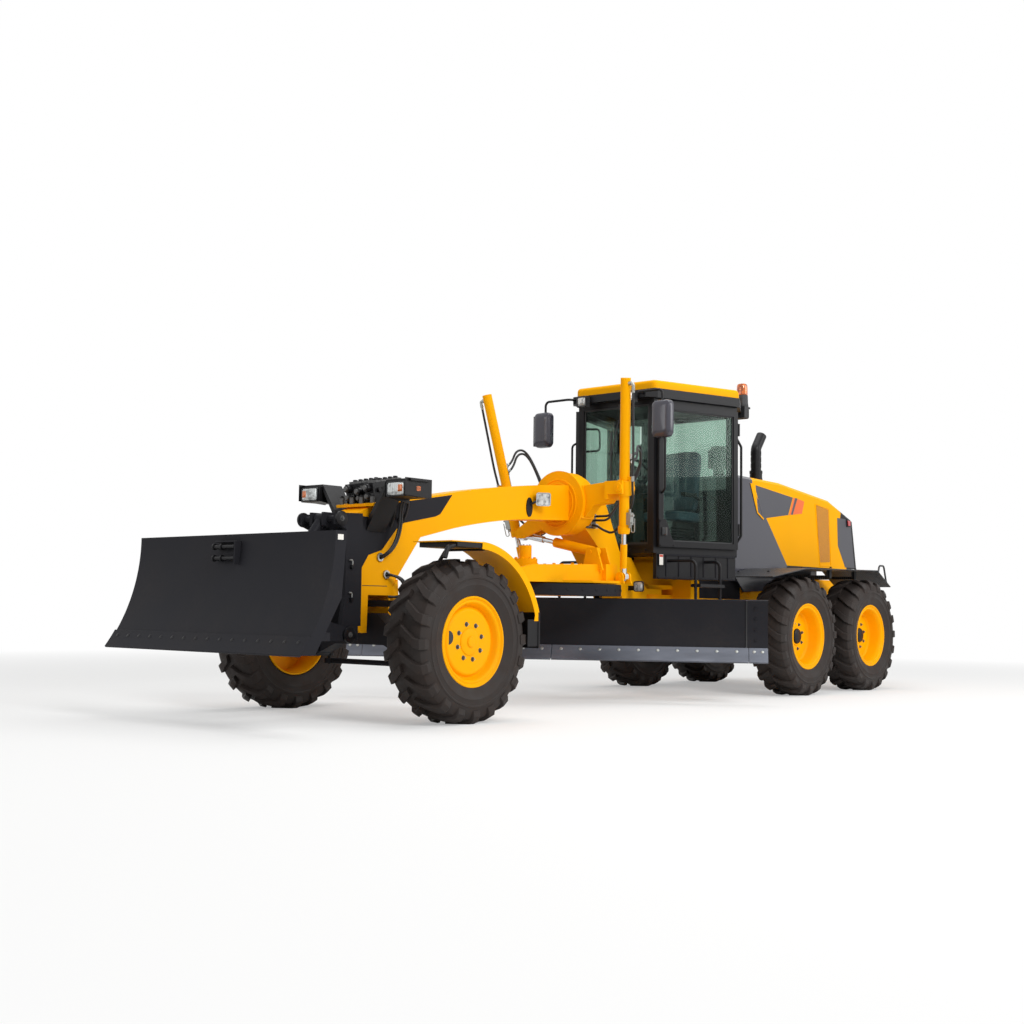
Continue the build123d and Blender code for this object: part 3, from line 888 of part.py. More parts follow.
DOOR = (55.0, SIDE_LEN - 45.0)     # door opening along the side wall
DOOR_Z = (CAB_FLOOR_Z + 25, CAB_EAVE_Z - 75)
DOOR_T = 40.0
DOOR_GAP = 6.0                     # a door hangs this far outside the wall
LAP = 20.0                         # and covers the rim of its opening
HINGE_RUN = DOOR[1] + LAP + 25     # hinge axis, along the wall
HINGE_Z = (DOOR_Z[0] + 150, DOOR_Z[1] - 220)
WINDOWS_Z = (CAB_FLOOR_Z + 120, CAB_EAVE_Z - 60)
with BuildPart() as cab_frame:
    prism(plan(*CAB_PLAN), CAB_FLOOR_Z - 60, CAB_EAVE_Z)
    prism(plan(*CAB_PLAN, grow=-50), CAB_FLOOR_Z, CAB_EAVE_Z + 1, Mode.SUBTRACT)
    for side in (1, -1):
        face = wall(side)
        y_up = 1 if face.y_dir.Z > 0 else -1
        plate(face, ((DOOR[0], y_up * DOOR_Z[0]), (DOOR[1], y_up * DOOR_Z[0]),
                     (DOOR[1], y_up * DOOR_Z[1]), (DOOR[0], y_up * DOOR_Z[1])), 110, Mode.SUBTRACT)
        # narrow rear quarter window
        bay = Vector(CAB_BACK_X - CAB_REAR_X, side * (CAB_BACK_HALF - CAB_REAR_HALF), 0)
        out = Vector(-bay.Y * side, bay.X * side, 0).normalized() * -1
        bay_plane = Plane(origin=(CAB_REAR_X, side * CAB_REAR_HALF, 0),
                          x_dir=bay.normalized(), z_dir=(out.X, out.Y, 0))
        z_up = 1 if bay_plane.y_dir.Z > 0 else -1
        plate(bay_plane, ((70, z_up * WINDOWS_Z[0]), (bay.length - 60, z_up * WINDOWS_Z[0]),
                          (bay.length - 60, z_up * WINDOWS_Z[1]), (70, z_up * WINDOWS_Z[1])), 90,
              Mode.SUBTRACT)
    block((CAB_FRONT_X - 120, CAB_FRONT_X + 60), (-CAB_FRONT_HALF + POST, CAB_FRONT_HALF - POST),
          (CAB_FLOOR_Z + 30, WINDOWS_Z[1]), Mode.SUBTRACT)
    block((CAB_BACK_X - 60, CAB_BACK_X + 70), (-CAB_BACK_HALF + 110, CAB_BACK_HALF - 110),
          (CAB_FLOOR_Z + 640, WINDOWS_Z[1]), Mode.SUBTRACT)
    # eave and roof liner, standing out as a gutter and a visor
    prism(plan(*CAB_PLAN, grow=35), CAB_EAVE_Z, CAB_ROOF_Z)
    prism(((CAB_FRONT_X + 20, -CAB_FRONT_HALF - 60), (CAB_FRONT_X + 130, -CAB_FRONT_HALF + 20),
           (CAB_FRONT_X + 130, CAB_FRONT_HALF - 20), (CAB_FRONT_X + 20, CAB_FRONT_HALF + 60)),
          CAB_EAVE_Z, CAB_ROOF_Z - 20)
    for side in (1, -1):
        # hinge knuckles of the door, with their pin
        face = wall(side)
        axis_at = face.offset(DOOR_T / 2 + DOOR_GAP).from_local_coords((HINGE_RUN, 0, 0))
        root_at = face.offset(-10).from_local_coords((HINGE_RUN - 8, 0, 0))
        for z in HINGE_Z:
            bar((axis_at.X, axis_at.Y, z - 22), (axis_at.X, axis_at.Y, z + 112), 8)
            for low in (z - 22, z + 93):
                bar((axis_at.X, axis_at.Y, low), (axis_at.X, axis_at.Y, low + 19), 15)
                bar((axis_at.X, axis_at.Y, low + 9.5), (root_at.X, root_at.Y, low + 9.5), 9)
    # grab rail on the rear corner
    for side in (1, -1):
        bent_tube(((CAB_BACK_X + 60, side * (CAB_BACK_HALF + 20), 2880),
                   (CAB_BACK_X + 20, side * (CAB_BACK_HALF + 70), 2760),
                   (CAB_BACK_X + 20, side * (CAB_BACK_HALF + 70), 1760),
                   (CAB_BACK_X + 60, side * (CAB_BACK_HALF + 20), 1660)), 14, 40)
finish(cab_frame, "cab_frame")

with BuildPart() as cab_roof:
    prism(plan(*CAB_PLAN, grow=20), CAB_ROOF_Z, ROOF_TOP_Z)
    fillet(cab_roof.edges().filter_by(Axis.Z), 60)
    fillet(cab_roof.faces().sort_by(Axis.Z)[-1].edges(), 40)
finish(cab_roof, "cab_roof")

# fixed panes: front, back and the two rear quarters
with BuildPart() as cab_windows:
    block((CAB_FRONT_X - 30, CAB_FRONT_X - 30 + GLASS_T),
          (-CAB_FRONT_HALF + POST + SEAT_GAP, CAB_FRONT_HALF - POST - SEAT_GAP),
          (CAB_FLOOR_Z + 30 + SEAT_GAP, WINDOWS_Z[1] - SEAT_GAP))
    block((CAB_BACK_X + 20, CAB_BACK_X + 20 + GLASS_T),
          (-CAB_BACK_HALF + 110 + SEAT_GAP, CAB_BACK_HALF - 110 - SEAT_GAP),
          (CAB_FLOOR_Z + 640 + SEAT_GAP, WINDOWS_Z[1] - SEAT_GAP))
    for side in (1, -1):
        bay = Vector(CAB_BACK_X - CAB_REAR_X, side * (CAB_BACK_HALF - CAB_REAR_HALF), 0)
        out = Vector(-bay.Y * side, bay.X * side, 0).normalized() * -1
        bay_plane = Plane(origin=(CAB_REAR_X, side * CAB_REAR_HALF, 0),
                          x_dir=bay.normalized(), z_dir=(out.X, out.Y, 0)).offset(-22)
        z_up = 1 if bay_plane.y_dir.Z > 0 else -1
        u = (74, bay.length - 90)
        v = (z_up * (WINDOWS_Z[0] + SEAT_GAP), z_up * (WINDOWS_Z[1] - SEAT_GAP))
        plate(bay_plane, ((u[0], v[0]), (u[1], v[0]), (u[1], v[1]), (u[0], v[1])), GLASS_T / 2)
finish(cab_windows, "cab_windows")

for side, hand in ((1, "left"), (-1, "right")):
    face = wall(side).offset(DOOR_T / 2 + DOOR_GAP)
    y_up = 1 if face.y_dir.Z > 0 else -1
    outline = ((DOOR[0] - LAP, y_up * (DOOR_Z[0] - LAP)), (DOOR[1] + LAP, y_up * (DOOR_Z[0] - LAP)),
               (DOOR[1] + LAP, y_up * (DOOR_Z[1] + LAP)), (DOOR[0] - LAP, y_up * (DOOR_Z[1] + LAP)))
    rail = 40.0
    opening = ((DOOR[0] + rail, y_up * (DOOR_Z[0] + rail)), (DOOR[1] - rail, y_up * (DOOR_Z[0] + rail)),
               (DOOR[1] - rail, y_up * (DOOR_Z[1] - rail)), (DOOR[0] + rail, y_up * (DOOR_Z[1] - rail)))
    hinge_at = face.from_local_coords((HINGE_RUN, 0, 0))
    with BuildPart() as door:
        plate(face, outline, DOOR_T / 2)
        plate(face, opening, DOOR_T, Mode.SUBTRACT)
        for z in HINGE_Z:
            plate(face, ((DOOR[1] + LAP - 5, y_up * z), (HINGE_RUN, y_up * z),
                         (HINGE_RUN, y_up * (z + 90)), (DOOR[1] + LAP - 5, y_up * (z + 90))), 6)
            bar((hinge_at.X, hinge_at.Y, z), (hinge_at.X, hinge_at.Y, z + 90), 15)
            bar((hinge_at.X, hinge_at.Y, z - 1), (hinge_at.X, hinge_at.Y, z + 91), 8 + FIT,
                Mode.SUBTRACT)
    finish(door, f"door_{hand}")
    with BuildPart() as door_glass:
        with BuildSketch(face) as pane:
            with BuildLine():
                Polyline(*opening, close=True)
            make_face()
            offset(amount=-SEAT_GAP, mode=Mode.REPLACE)
        extrude(pane.sketch, amount=GLASS_T / 2, both=True)
    finish(door_glass, f"door_glass_{hand}")

# ---- inside the cab ----
SEAT_X = AXLE_X - 4690.0
with BuildPart() as seat_base:
    prism(((SEAT_X - 220, -210), (SEAT_X + 220, -210), (SEAT_X + 220, 210), (SEAT_X - 220, 210)),
          CAB_FLOOR_Z, CAB_FLOOR_Z + 120)
    prism(((SEAT_X - 170, -170), (SEAT_X + 170, -170), (SEAT_X + 170, 170), (SEAT_X - 170, 170)),
          CAB_FLOOR_Z + 119, CAB_FLOOR_Z + 330)
finish(seat_base, "seat_base")
with BuildPart() as seat_cushion:
    block((SEAT_X - 230, SEAT_X + 250), (-250, 250), (CAB_FLOOR_Z + 330 + SEAT_GAP, CAB_FLOOR_Z + 450))
    fillet(seat_cushion.edges().filter_by(Axis.Z), 50)
finish(seat_cushion, "seat_cushion")
with BuildPart() as seat_back:
    side_plate(((SEAT_X - 190, CAB_FLOOR_Z + 450 + SEAT_GAP), (SEAT_X - 80, CAB_FLOOR_Z + 450 + SEAT_GAP),
                (SEAT_X - 170, CAB_FLOOR_Z + 1150), (SEAT_X - 270, CAB_FLOOR_Z + 1150)), -240, 240)
finish(seat_back, "seat_back")
with BuildPart() as cab_console:
    side_plate(((CAB_FRONT_X - 180, CAB_FLOOR_Z), (CAB_FRONT_X - 420, CAB_FLOOR_Z),
                (CAB_FRONT_X - 330, CAB_FLOOR_Z + 700), (CAB_FRONT_X - 200, CAB_FLOOR_Z + 760)),
               -110, 110)
    hub = Vector(CAB_FRONT_X - 330, 0, CAB_FLOOR_Z + 860)
    bar((CAB_FRONT_X - 260, 0, CAB_FLOOR_Z + 700), tuple(hub), 22)
    wheel_plane = Plane(origin=tuple(hub), z_dir=(-0.6, 0, 0.8))
    with BuildSketch(wheel_plane) as steering_ring:
        Circle(200)
        Circle(172, mode=Mode.SUBTRACT)
        Rectangle(360, 30)
    extrude(steering_ring.sketch, amount=22)
finish(cab_console, "cab_console")

# ---- beside the cab: boxes, ladders, mirrors, lamps ----
BOX_Z = (1250.0, CAB_UNDER_Z)
BOX_PLAN = ((CAB_FRONT_X - 40, 470), (CAB_FRONT_X - 40, 512), (CAB_REAR_X + 20, CAB_REAR_HALF - 6),
            (CAB_REAR_X + 20, 470))
with BuildPart() as side_boxes:
    for side in (1, -1):
        prism([(x, side * y) for x, y in BOX_PLAN], *BOX_Z)
finish(side_boxes, "side_boxes")
LADDER_X = (AXLE_X - 3790.0, AXLE_X - 4260.0)
LADDER_Y = 900.0
with BuildPart() as ladders:
    for side in (1, -1):
        for x in LADDER_X:
            bent_tube(((x, side * (CAB_FRONT_HALF + (CAB_FRONT_X - x) * 0.309 - 20), 1440),
                       (x, side * LADDER_Y, 1440), (x, side * LADDER_Y, 640)), 16, 60)
        prism([(x, side * y) for x, y in BOX_PLAN], *BOX_Z, Mode.SUBTRACT)
        for z in (1180, 900, 650):
            block((LADDER_X[1], LADDER_X[0]), tuple(sorted((side * (LADDER_Y - 60), side * (LADDER_Y + 60)))),
                  (z - 14, z + 14))
finish(ladders, "ladders")

# mirror, side: arm from the front corner post and head
MIRROR_Z = (2700.0, 3030.0)
with BuildPart() as mirrors:
    for side, out_y, head_x in ((1, 760, CAB_FRONT_X + 230), (-1, 785, CAB_FRONT_X + 230)):
        arm_z = CAB_EAVE_Z + 40
        bent_tube(((CAB_FRONT_X + 130 + SEAT_GAP, side * 440, arm_z), (head_x, side * 440, arm_z),
                   (head_x, side * out_y, arm_z), (head_x, side * out_y, MIRROR_Z[0] + 60)), 13, 50)
        y0, y1 = sorted((side * (out_y - 80), side * (out_y + 110)))
        block((head_x + 10, head_x + 74), (y0, y1), MIRROR_Z)
finish(mirrors, "mirrors")

BEACON_X = CAB_BACK_X - 100
with BuildPart() as roof_lamps:
    for side in (1, -1):
        block((CAB_FRONT_X + 130, CAB_FRONT_X + 190),
              tuple(sorted((side * 250, side * 380))), (CAB_EAVE_Z - 50, CAB_EAVE_Z + 70))
        block((CAB_BACK_X - 120, CAB_BACK_X - 35), tuple(sorted((side * 540, side * 700))),
              (CAB_EAVE_Z - 50, CAB_EAVE_Z + 60))
    block((BEACON_X - 60, CAB_BACK_X - 35), (560, 700), (CAB_ROOF_Z - 41, CAB_ROOF_Z - 20))
    bar((BEACON_X, 630, CAB_ROOF_Z - 21), (BEACON_X, 630, ROOF_TOP_Z + 120), 55)
finish(roof_lamps, "roof_lamps")
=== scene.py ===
"""Looks of the motor grader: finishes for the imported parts, and the pieces too fine for them."""
from math import atan, cos, pi, radians, sin, tau

import bmesh
import bpy
from mathutils import Matrix, Vector, noise


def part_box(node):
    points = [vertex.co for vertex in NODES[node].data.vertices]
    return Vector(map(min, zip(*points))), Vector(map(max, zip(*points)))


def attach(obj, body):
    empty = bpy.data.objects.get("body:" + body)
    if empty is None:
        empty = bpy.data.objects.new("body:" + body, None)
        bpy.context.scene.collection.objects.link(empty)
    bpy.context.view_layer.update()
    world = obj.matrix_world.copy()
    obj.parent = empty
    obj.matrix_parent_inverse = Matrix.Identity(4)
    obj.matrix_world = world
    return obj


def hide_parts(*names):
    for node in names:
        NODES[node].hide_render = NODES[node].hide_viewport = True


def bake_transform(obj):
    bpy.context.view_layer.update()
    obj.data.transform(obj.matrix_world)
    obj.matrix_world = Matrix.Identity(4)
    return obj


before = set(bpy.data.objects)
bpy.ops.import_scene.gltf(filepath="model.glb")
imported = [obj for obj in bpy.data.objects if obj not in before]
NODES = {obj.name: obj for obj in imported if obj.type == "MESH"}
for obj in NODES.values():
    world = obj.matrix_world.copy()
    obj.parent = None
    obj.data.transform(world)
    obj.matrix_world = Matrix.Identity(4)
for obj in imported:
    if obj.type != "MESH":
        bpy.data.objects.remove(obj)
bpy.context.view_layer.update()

bl_info = {
    "name": "Motor grader looks",
    "version": (1, 0, 0),
    "blender": (4, 5, 0),
    "location": "View3D > Sidebar > Grader",
    "description": "Finishes and fine pieces of a motor grader, built round its packed frame",
    "category": "Object",
}

X, Y, Z = Vector((1, 0, 0)), Vector((0, 1, 0)), Vector((0, 0, 1))
MM = 0.001


def middle(node):
    """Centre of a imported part's box."""
    low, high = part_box(node)
    return (Vector(low) + Vector(high)) / 2


AXLE = middle("wheel_front_left").x      # every x below is given from the front axle
SIDES = ((1, "left"), (-1, "right"))


def at(x, y, z):
    """Point given from the front axle, metres."""
    return Vector((AXLE + x, y, z))


def on_side(side, y, outline):
    """Points of an outline, given as (ahead, up), on the upright plane y out to one side."""
    return [at(x, side * y, z) for x, z in outline]


# ---- sizes and colours a user would change ----
class GraderColours(bpy.types.PropertyGroup):
    """Colours that the finishes are made from."""
    yellow: bpy.props.StringProperty(name="Yellow", description="Body enamel, sRGB hex", default="FFB000")
    charcoal: bpy.props.StringProperty(
        name="Charcoal", description="Blades and frame enamel, sRGB hex", default="28282C")
    black: bpy.props.StringProperty(name="Black", description="Cab frame enamel, sRGB hex", default="121215")
    stripe: bpy.props.StringProperty(name="Stripe", description="Hood stripes, sRGB hex", default="F26A1B")
    rubber: bpy.props.StringProperty(name="Rubber", description="Tyres, sRGB hex", default="2F2A28")


class GraderSizes(bpy.types.PropertyGroup):
    """Sizes of the pieces that repeat."""
    lugs: bpy.props.IntProperty(name="Lugs", description="Tread lugs on each side of a tyre", default=20)
    lug_height: bpy.props.FloatProperty(
        name="Lug height", description="Tread depth", default=0.038, unit="LENGTH")
    hose: bpy.props.FloatProperty(
        name="Hose", description="Outside diameter of the hoses on the nose", default=0.022, unit="LENGTH")


def colours():
    """The colours set in the panel."""
    return bpy.context.scene.grader_colours


def sizes():
    """The sizes set in the panel."""
    return bpy.context.scene.grader_sizes


# ---- mesh building ----
class Form:
    """A mesh in the making. Each solid added to it keeps its own finish."""

    def __init__(self, name):
        self.name = name
        self.mesh = bmesh.new()
        self.finishes = []

    def skin(self, rings, finish, loop=False):
        """Closed rings of points, joined one to the next; loop joins the last to the first."""
        if finish not in self.finishes:
            self.finishes.append(finish)
        rows = [[self.mesh.verts.new(p) for p in ring] for ring in rings]
        count = len(rows[0])
        pairs = list(zip(rows, rows[1:]))
        if loop:
            pairs.append((rows[-1], rows[0]))
        faces = []
        for near, far in pairs:
            for i in range(count):
                j = (i + 1) % count
                faces.append(self.mesh.faces.new((near[i], near[j], far[j], far[i])))
        if not loop:
            faces.append(self.mesh.faces.new(rows[0][::-1]))
            faces.append(self.mesh.faces.new(rows[-1]))
        for face in faces:
            face.material_index = self.finishes.index(finish)

    def box(self, centre, size, finish, turn=None):
        """Block of a size round a centre; turn is a rotation matrix."""
        turn = turn or Matrix.Identity(3)
        corners = ((-1, -1), (1, -1), (1, 1), (-1, 1))
        self.skin([[Vector(centre) + turn @ Vector((x * size[0] / 2, y * size[1] / 2, z * size[2] / 2))
                    for x, y in corners] for z in (-1, 1)], finish)

    def slab(self, outline, normal, thickness, finish):
        """Flat plate: outline points in space, thickened along normal."""
        step = Vector(normal).normalized() * thickness
        self.skin([[Vector(p) for p in outline], [Vector(p) + step for p in outline]], finish)

    def lathe(self, profile, centre, axis, finish, steps=32):
        """Closed profile of (along, radius) points turned round an axis."""
        turn = aim(axis)
        rings = []
        for i in range(steps):
            a = tau * i / steps
            rings.append([Vector(centre) + turn @ Vector((r * cos(a), r * sin(a), s)) for s, r in profile])
        self.skin(rings, finish, loop=True)

    def rod(self, start, end, radius, finish, steps=16):
        """Straight round bar."""
        self.pipe((start, end), radius, finish, steps)

    def pipe(self, points, radius, finish, steps=10):
        """Round bar through points, its corners mitred."""
        points = [Vector(p) for p in points]
        across = None
        rings = []
        for i, p in enumerate(points):
            before = (p - points[max(i - 1, 0)]).normalized()
            after = (points[min(i + 1, len(points) - 1)] - p).normalized()
            along = (before + after).normalized()
            side = across or aim(along) @ X
            side = (side - along * side.dot(along)).normalized()
            across = side
            up = along.cross(side)
            rings.append([p + radius * (cos(tau * k / steps) * side + sin(tau * k / steps) * up)
                          for k in range(steps)])
        self.skin(rings, finish)

    def bolt(self, place, along, across, finish="zinc"):
        """Hexagon head with its washer, standing on a face."""
        turn = aim(along)
        place = Vector(place)
        washer, head, chamfer = (-0.002, 0.1, 0.95, 16), (0.1, 0.62, 0.577, 6), (0.62, 0.7, 0.48, 6)
        for low, high, radius, steps in (washer, head, chamfer):
            self.skin([[place + turn @ Vector((radius * across * cos(tau * k / steps),
                                              radius * across * sin(tau * k / steps), s * across))
                        for k in range(steps)] for s in (low, high)], finish)

    def bolt_ring(self, count, radius, centre, along, across, finish="zinc", start=0.0):
        """Bolts evenly round a circle square to X or Z, turned by start."""
        first, second = (Y, Z) if along == X else (X, Y)
        for k in range(count):
            a = tau * k / count + start
            self.bolt(centre + (first * cos(a) + second * sin(a)) * radius, along, across, finish)

    def done(self, body, slot, bevel=0.0, crease=32):
        """Makes the object: it rides on a body, if one is given. The slot is not used."""
        bmesh.ops.recalc_face_normals(self.mesh, faces=self.mesh.faces)
        for edge in self.mesh.edges:
            edge.smooth = edge.is_manifold and edge.calc_face_angle() < radians(crease)
        for face in self.mesh.faces:
            face.smooth = True
        data = bpy.data.meshes.new(self.name)
        self.mesh.to_mesh(data)
        self.mesh.free()
        for finish in self.finishes:
            data.materials.append(bpy.data.materials[finish])
        piece = place_piece(self.name, data, body)
        if bevel:
            edge = piece.modifiers.new("edge", "BEVEL")
            edge.width = bevel
            edge.segments = 2
            edge.limit_method = "ANGLE"
            edge.angle_limit = radians(40)
        return piece


def place_piece(name, data, body=None):
    """Object of that name, which rides on a body, if one is given."""
    piece = bpy.data.objects.new(name, data)
    bpy.context.collection.objects.link(piece)
    if body:
        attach(piece, body)
    return piece


def aim(axis):
    """Rotation that takes Z to an axis."""
    return Vector(axis).normalized().to_track_quat("Z", "Y").to_matrix()


def rounded(points, bend, steps=6):
    """Route with its corners rounded, for a rigid pipe or bar."""
    points = [Vector(p) for p in points]
    route = [points[0]]
    for before, corner, after in zip(points, points[1:], points[2:]):
        reach = min(bend, (before - corner).length * 0.49, (after - corner).length * 0.49)
        a = corner + (before - corner).normalized() * reach
        b = corner + (after - corner).normalized() * reach
        for k in range(steps + 1):
            t = k / steps
            route.append(a * (1 - t) ** 2 + corner * 2 * t * (1 - t) + b * t ** 2)
    route.append(points[-1])
    return route


def rounded_rectangle(width, height, corner, steps=4):
    """Outline points in a plane, as (across, up)."""
    points = []
    for i, (x, y) in enumerate(((1, 1), (-1, 1), (-1, -1), (1, -1))):
        for k in range(steps + 1):
            a = pi / 2 * (i + k / steps)
            points.append((x * (width / 2 - corner) + corner * cos(a),
                           y * (height / 2 - corner) + corner * sin(a)))
    return points


# ---- finishes ----
def linear(code):
    """Linear colour of an sRGB hex value."""
    parts = [int(code[i:i + 2], 16) / 255 for i in (0, 2, 4)]
    return (*[v / 12.92 if v <= 0.04045 else ((v + 0.055) / 1.055) ** 2.4 for v in parts], 1)


def per_metre(size_mm):
    """Noise scale for a grain of that size."""
    return 1000 / size_mm


def add(tree, kind, settings=(), inputs=()):
    """Adds a node with its own settings and its inputs, each a value or another node's output."""
    new = tree.nodes.new(kind)
    for name, value in dict(settings).items():
        setattr(new, name, value)
    for name, value in dict(inputs).items():
        socket = new.inputs[name]
        if isinstance(value, bpy.types.NodeSocket):
            tree.links.new(value, socket)
        else:
            socket.default_value = value
    return new


def begin(name):
    """New material: its node tree, its surface node and the object's own coordinates."""
    material = bpy.data.materials.new(name)
    material.use_nodes = True
    tree = material.node_tree
    place = add(tree, "ShaderNodeTexCoord").outputs["Object"]
    return tree, tree.nodes["Principled BSDF"], place


def grain(tree, place, size_mm, detail=3.0):
    """Noise between 0 and 1, in patches of about that size."""
    return add(tree, "ShaderNodeTexNoise", (),
               {"Vector": place, "Scale": per_metre(size_mm), "Detail": detail}).outputs["Fac"]


def ramp(tree, factor, low, high, dark, bright):
    """Maps a factor's stretch to a stretch of values."""
    return add(tree, "ShaderNodeMapRange", (),
               {"Value": factor, "From Min": low, "From Max": high, "To Min": dark,
                "To Max": bright}).outputs["Result"]


def mixed(tree, factor, first, second):
    """Colour between two, each a value or another node's output."""
    node = add(tree, "ShaderNodeMix", {"data_type": "RGBA"}, {0: factor})
    for index, value in ((6, first), (7, second)):
        if isinstance(value, bpy.types.NodeSocket):
            tree.links.new(value, node.inputs[index])
        else:
            node.inputs[index].default_value = value
    return node.outputs[2]


def shaded(colour, share):
    """A darker shade of a linear colour."""
    return (*[v * share for v in colour[:3]], 1)


def bumped(tree, surface, height, depth_mm, strength=1.0):
    """Fine relief of a surface, of a depth in mm."""
    node = add(tree, "ShaderNodeBump", (),
               {"Height": height, "Distance": depth_mm * MM, "Strength": strength})
    tree.links.new(node.outputs["Normal"], surface.inputs["Normal"])


def enamel(name, code, roughness, coat, dust, peel_mm=14, shine=0.2):
    """Sprayed machine enamel on steel: a faint orange peel, and road dust that gathers low down."""
    tree, surface, place = begin(name)
    patches = grain(tree, place, 420, 5)
    specks = grain(tree, place, 35, 4)
    height = add(tree, "ShaderNodeSeparateXYZ", (), {"Vector": place}).outputs["Z"]
    low = ramp(tree, height, 1.5, 0.1, 0.25, 1.0)
    film = add(tree, "ShaderNodeMath", {"operation": "MULTIPLY"},
               {0: ramp(tree, patches, 0.42, 0.75, 0.0, dust), 1: low}).outputs[0]
    film = add(tree, "ShaderNodeMath", {"operation": "MULTIPLY", "use_clamp": True},
               {0: film, 1: ramp(tree, specks, 0.3, 0.7, 0.4, 1.4)}).outputs[0]
    base = linear(code)
    shade = mixed(tree, ramp(tree, patches, 0.3, 0.7, 0.0, 0.10), base, shaded(base, 0.8))
    tree.links.new(mixed(tree, film, shade, linear("7A6C5C")), surface.inputs["Base Color"])
    tree.links.new(ramp(tree, film, 0.0, 0.6, roughness, 0.85), surface.inputs["Roughness"])
    surface.inputs["Specular IOR Level"].default_value = shine
    surface.inputs["Coat Weight"].default_value = coat
    surface.inputs["Coat Roughness"].default_value = 0.12
    bumped(tree, surface, grain(tree, place, peel_mm), 0.12, 0.5)


def yellow_enamel():
    """Two-pack enamel, semi-gloss: warm yellow with soft reflections."""
    enamel("yellow_enamel", colours().yellow, 0.42, 0.0, 0.10, shine=0.06)


def charcoal_enamel():
    """Charcoal enamel, semi-gloss: reads as dark grey where light grazes it."""
    enamel("charcoal_enamel", colours().charcoal, 0.42, 0.0, 0.05, shine=0.05)


def cowl_enamel():
    """Grey of the smooth moulded cowl, glossier than the charcoal on steel."""
    enamel("cowl_enamel", "3C3C46", 0.22, 0.6, 0.05, 60)


def black_enamel():
    """Satin black enamel of the cab frame and small brackets."""
    enamel("black_enamel", colours().black, 0.42, 0.05, 0.04)


LOZENGE_WAVE = 0.056     # length, along X or Y, of the two waves that cross in the tread plate's pattern


def tread_plate():
    """Rolled steel plate with rows of raised lozenges, 28 mm apart along a row, enamelled black; the raised
    lozenges are painted lighter, a painted highlight.
    """
    tree, surface, place = begin("tread_plate")
    split = add(tree, "ShaderNodeSeparateXYZ", (), {"Vector": place})
    crests = []
    for way in (1, -1):
        slope = add(tree, "ShaderNodeMath", {"operation": "MULTIPLY_ADD"},
                    {0: split.outputs["Y"], 1: way, 2: split.outputs["X"]}).outputs[0]
        wave = add(tree, "ShaderNodeMath", {"operation": "MULTIPLY"},
                   {0: slope, 1: tau / LOZENGE_WAVE}).outputs[0]
        crests.append(add(tree, "ShaderNodeMath", {"operation": "SINE"}, {0: wave}).outputs[0])
    product = add(tree, "ShaderNodeMath", {"operation": "MULTIPLY"}, {0: crests[0], 1: crests[1]}).outputs[0]
    raised = ramp(tree, add(tree, "ShaderNodeMath", {"operation": "ABSOLUTE"}, {0: product}).outputs[0],
                  0.45, 0.6, 0.0, 1.0)
    # painted highlight: the raised lozenges get a lighter grey than the plate
    base = mixed(tree, raised, linear("1C1D20"), linear("3A3C40"))
    dust = ramp(tree, grain(tree, place, 90), 0.45, 0.8, 0, 0.12)
    tree.links.new(mixed(tree, dust, base, linear("5E564C")), surface.inputs["Base Color"])
    surface.inputs["Roughness"].default_value = 0.45
    bumped(tree, surface, raised, 1.6)


def tyre_rubber():
    """Vulcanised rubber: brownish black, dusty in the grooves, with fine mould grain."""
    tree, surface, place = begin("tyre_rubber")
    mud = ramp(tree, grain(tree, place, 160, 5), 0.4, 0.75, 0.0, 0.30)
    tree.links.new(mixed(tree, mud, linear(colours().rubber), linear("3C2E27")), surface.inputs["Base Color"])
    tree.links.new(ramp(tree, mud, 0.0, 0.4, 0.52, 0.85), surface.inputs["Roughness"])
    surface.inputs["Specular IOR Level"].default_value = 0.2
    bumped(tree, surface, grain(tree, place, 12, 4), 0.5, 0.6)


def hose_rubber():
    """Wrapped hydraulic hose: matt black with the mark of its wrapping, 4 mm apart."""
    tree, surface, place = begin("hose_rubber")
    tree.links.new(mixed(tree, grain(tree, place, 60), linear("101112"), linear("26272A")),
                   surface.inputs["Base Color"])
    surface.inputs["Roughness"].default_value = 0.55
    bumped(tree, surface, grain(tree, place, 4), 0.3)


def metal(name, code, roughness, streak_mm, variation=0.25):
    """Bare or plated metal with marks drawn out level, six times as long as they are high."""
    tree, surface, place = begin(name)
    lines = add(tree, "ShaderNodeMapping", (), {"Vector": place, "Scale": (1, 1, 6)}).outputs[0]
    marks = grain(tree, lines, streak_mm, 5)
    base = linear(code)
    worn = mixed(tree, ramp(tree, marks, 0.35, 0.7, 0, variation), base, shaded(base, 0.45))
    tree.links.new(worn, surface.inputs["Base Color"])
    surface.inputs["Metallic"].default_value = 1.0
    tree.links.new(ramp(tree, marks, 0.3, 0.7, roughness, roughness + 0.15), surface.inputs["Roughness"])
    return surface


def hard_chrome():
    """Hard chrome on ground rod: a near mirror."""
    metal("hard_chrome", "D5D8DA", 0.08, 50, 0.1)


def zinc():
    """Bright zinc plate on bolts and hose fittings: pale, a little cloudy."""
    metal("zinc", "A9ABA8", 0.35, 18)


def edge_steel():
    """Rolled blade edge steel, its paint half worn: blue grey with long scuffs."""
    surface = metal("edge_steel", "666A74", 0.40, 420, 0.4)
    surface.inputs["Metallic"].default_value = 0.55


def cast_iron():
    """Grey iron casting in dull paint, rough from the sand mould."""
    tree, surface, place = begin("cast_iron")
    tree.links.new(mixed(tree, grain(tree, place, 40), linear("242527"), linear("3A3A3A")),
                   surface.inputs["Base Color"])
    surface.inputs["Roughness"].default_value = 0.7
    bumped(tree, surface, grain(tree, place, 5), 0.5)


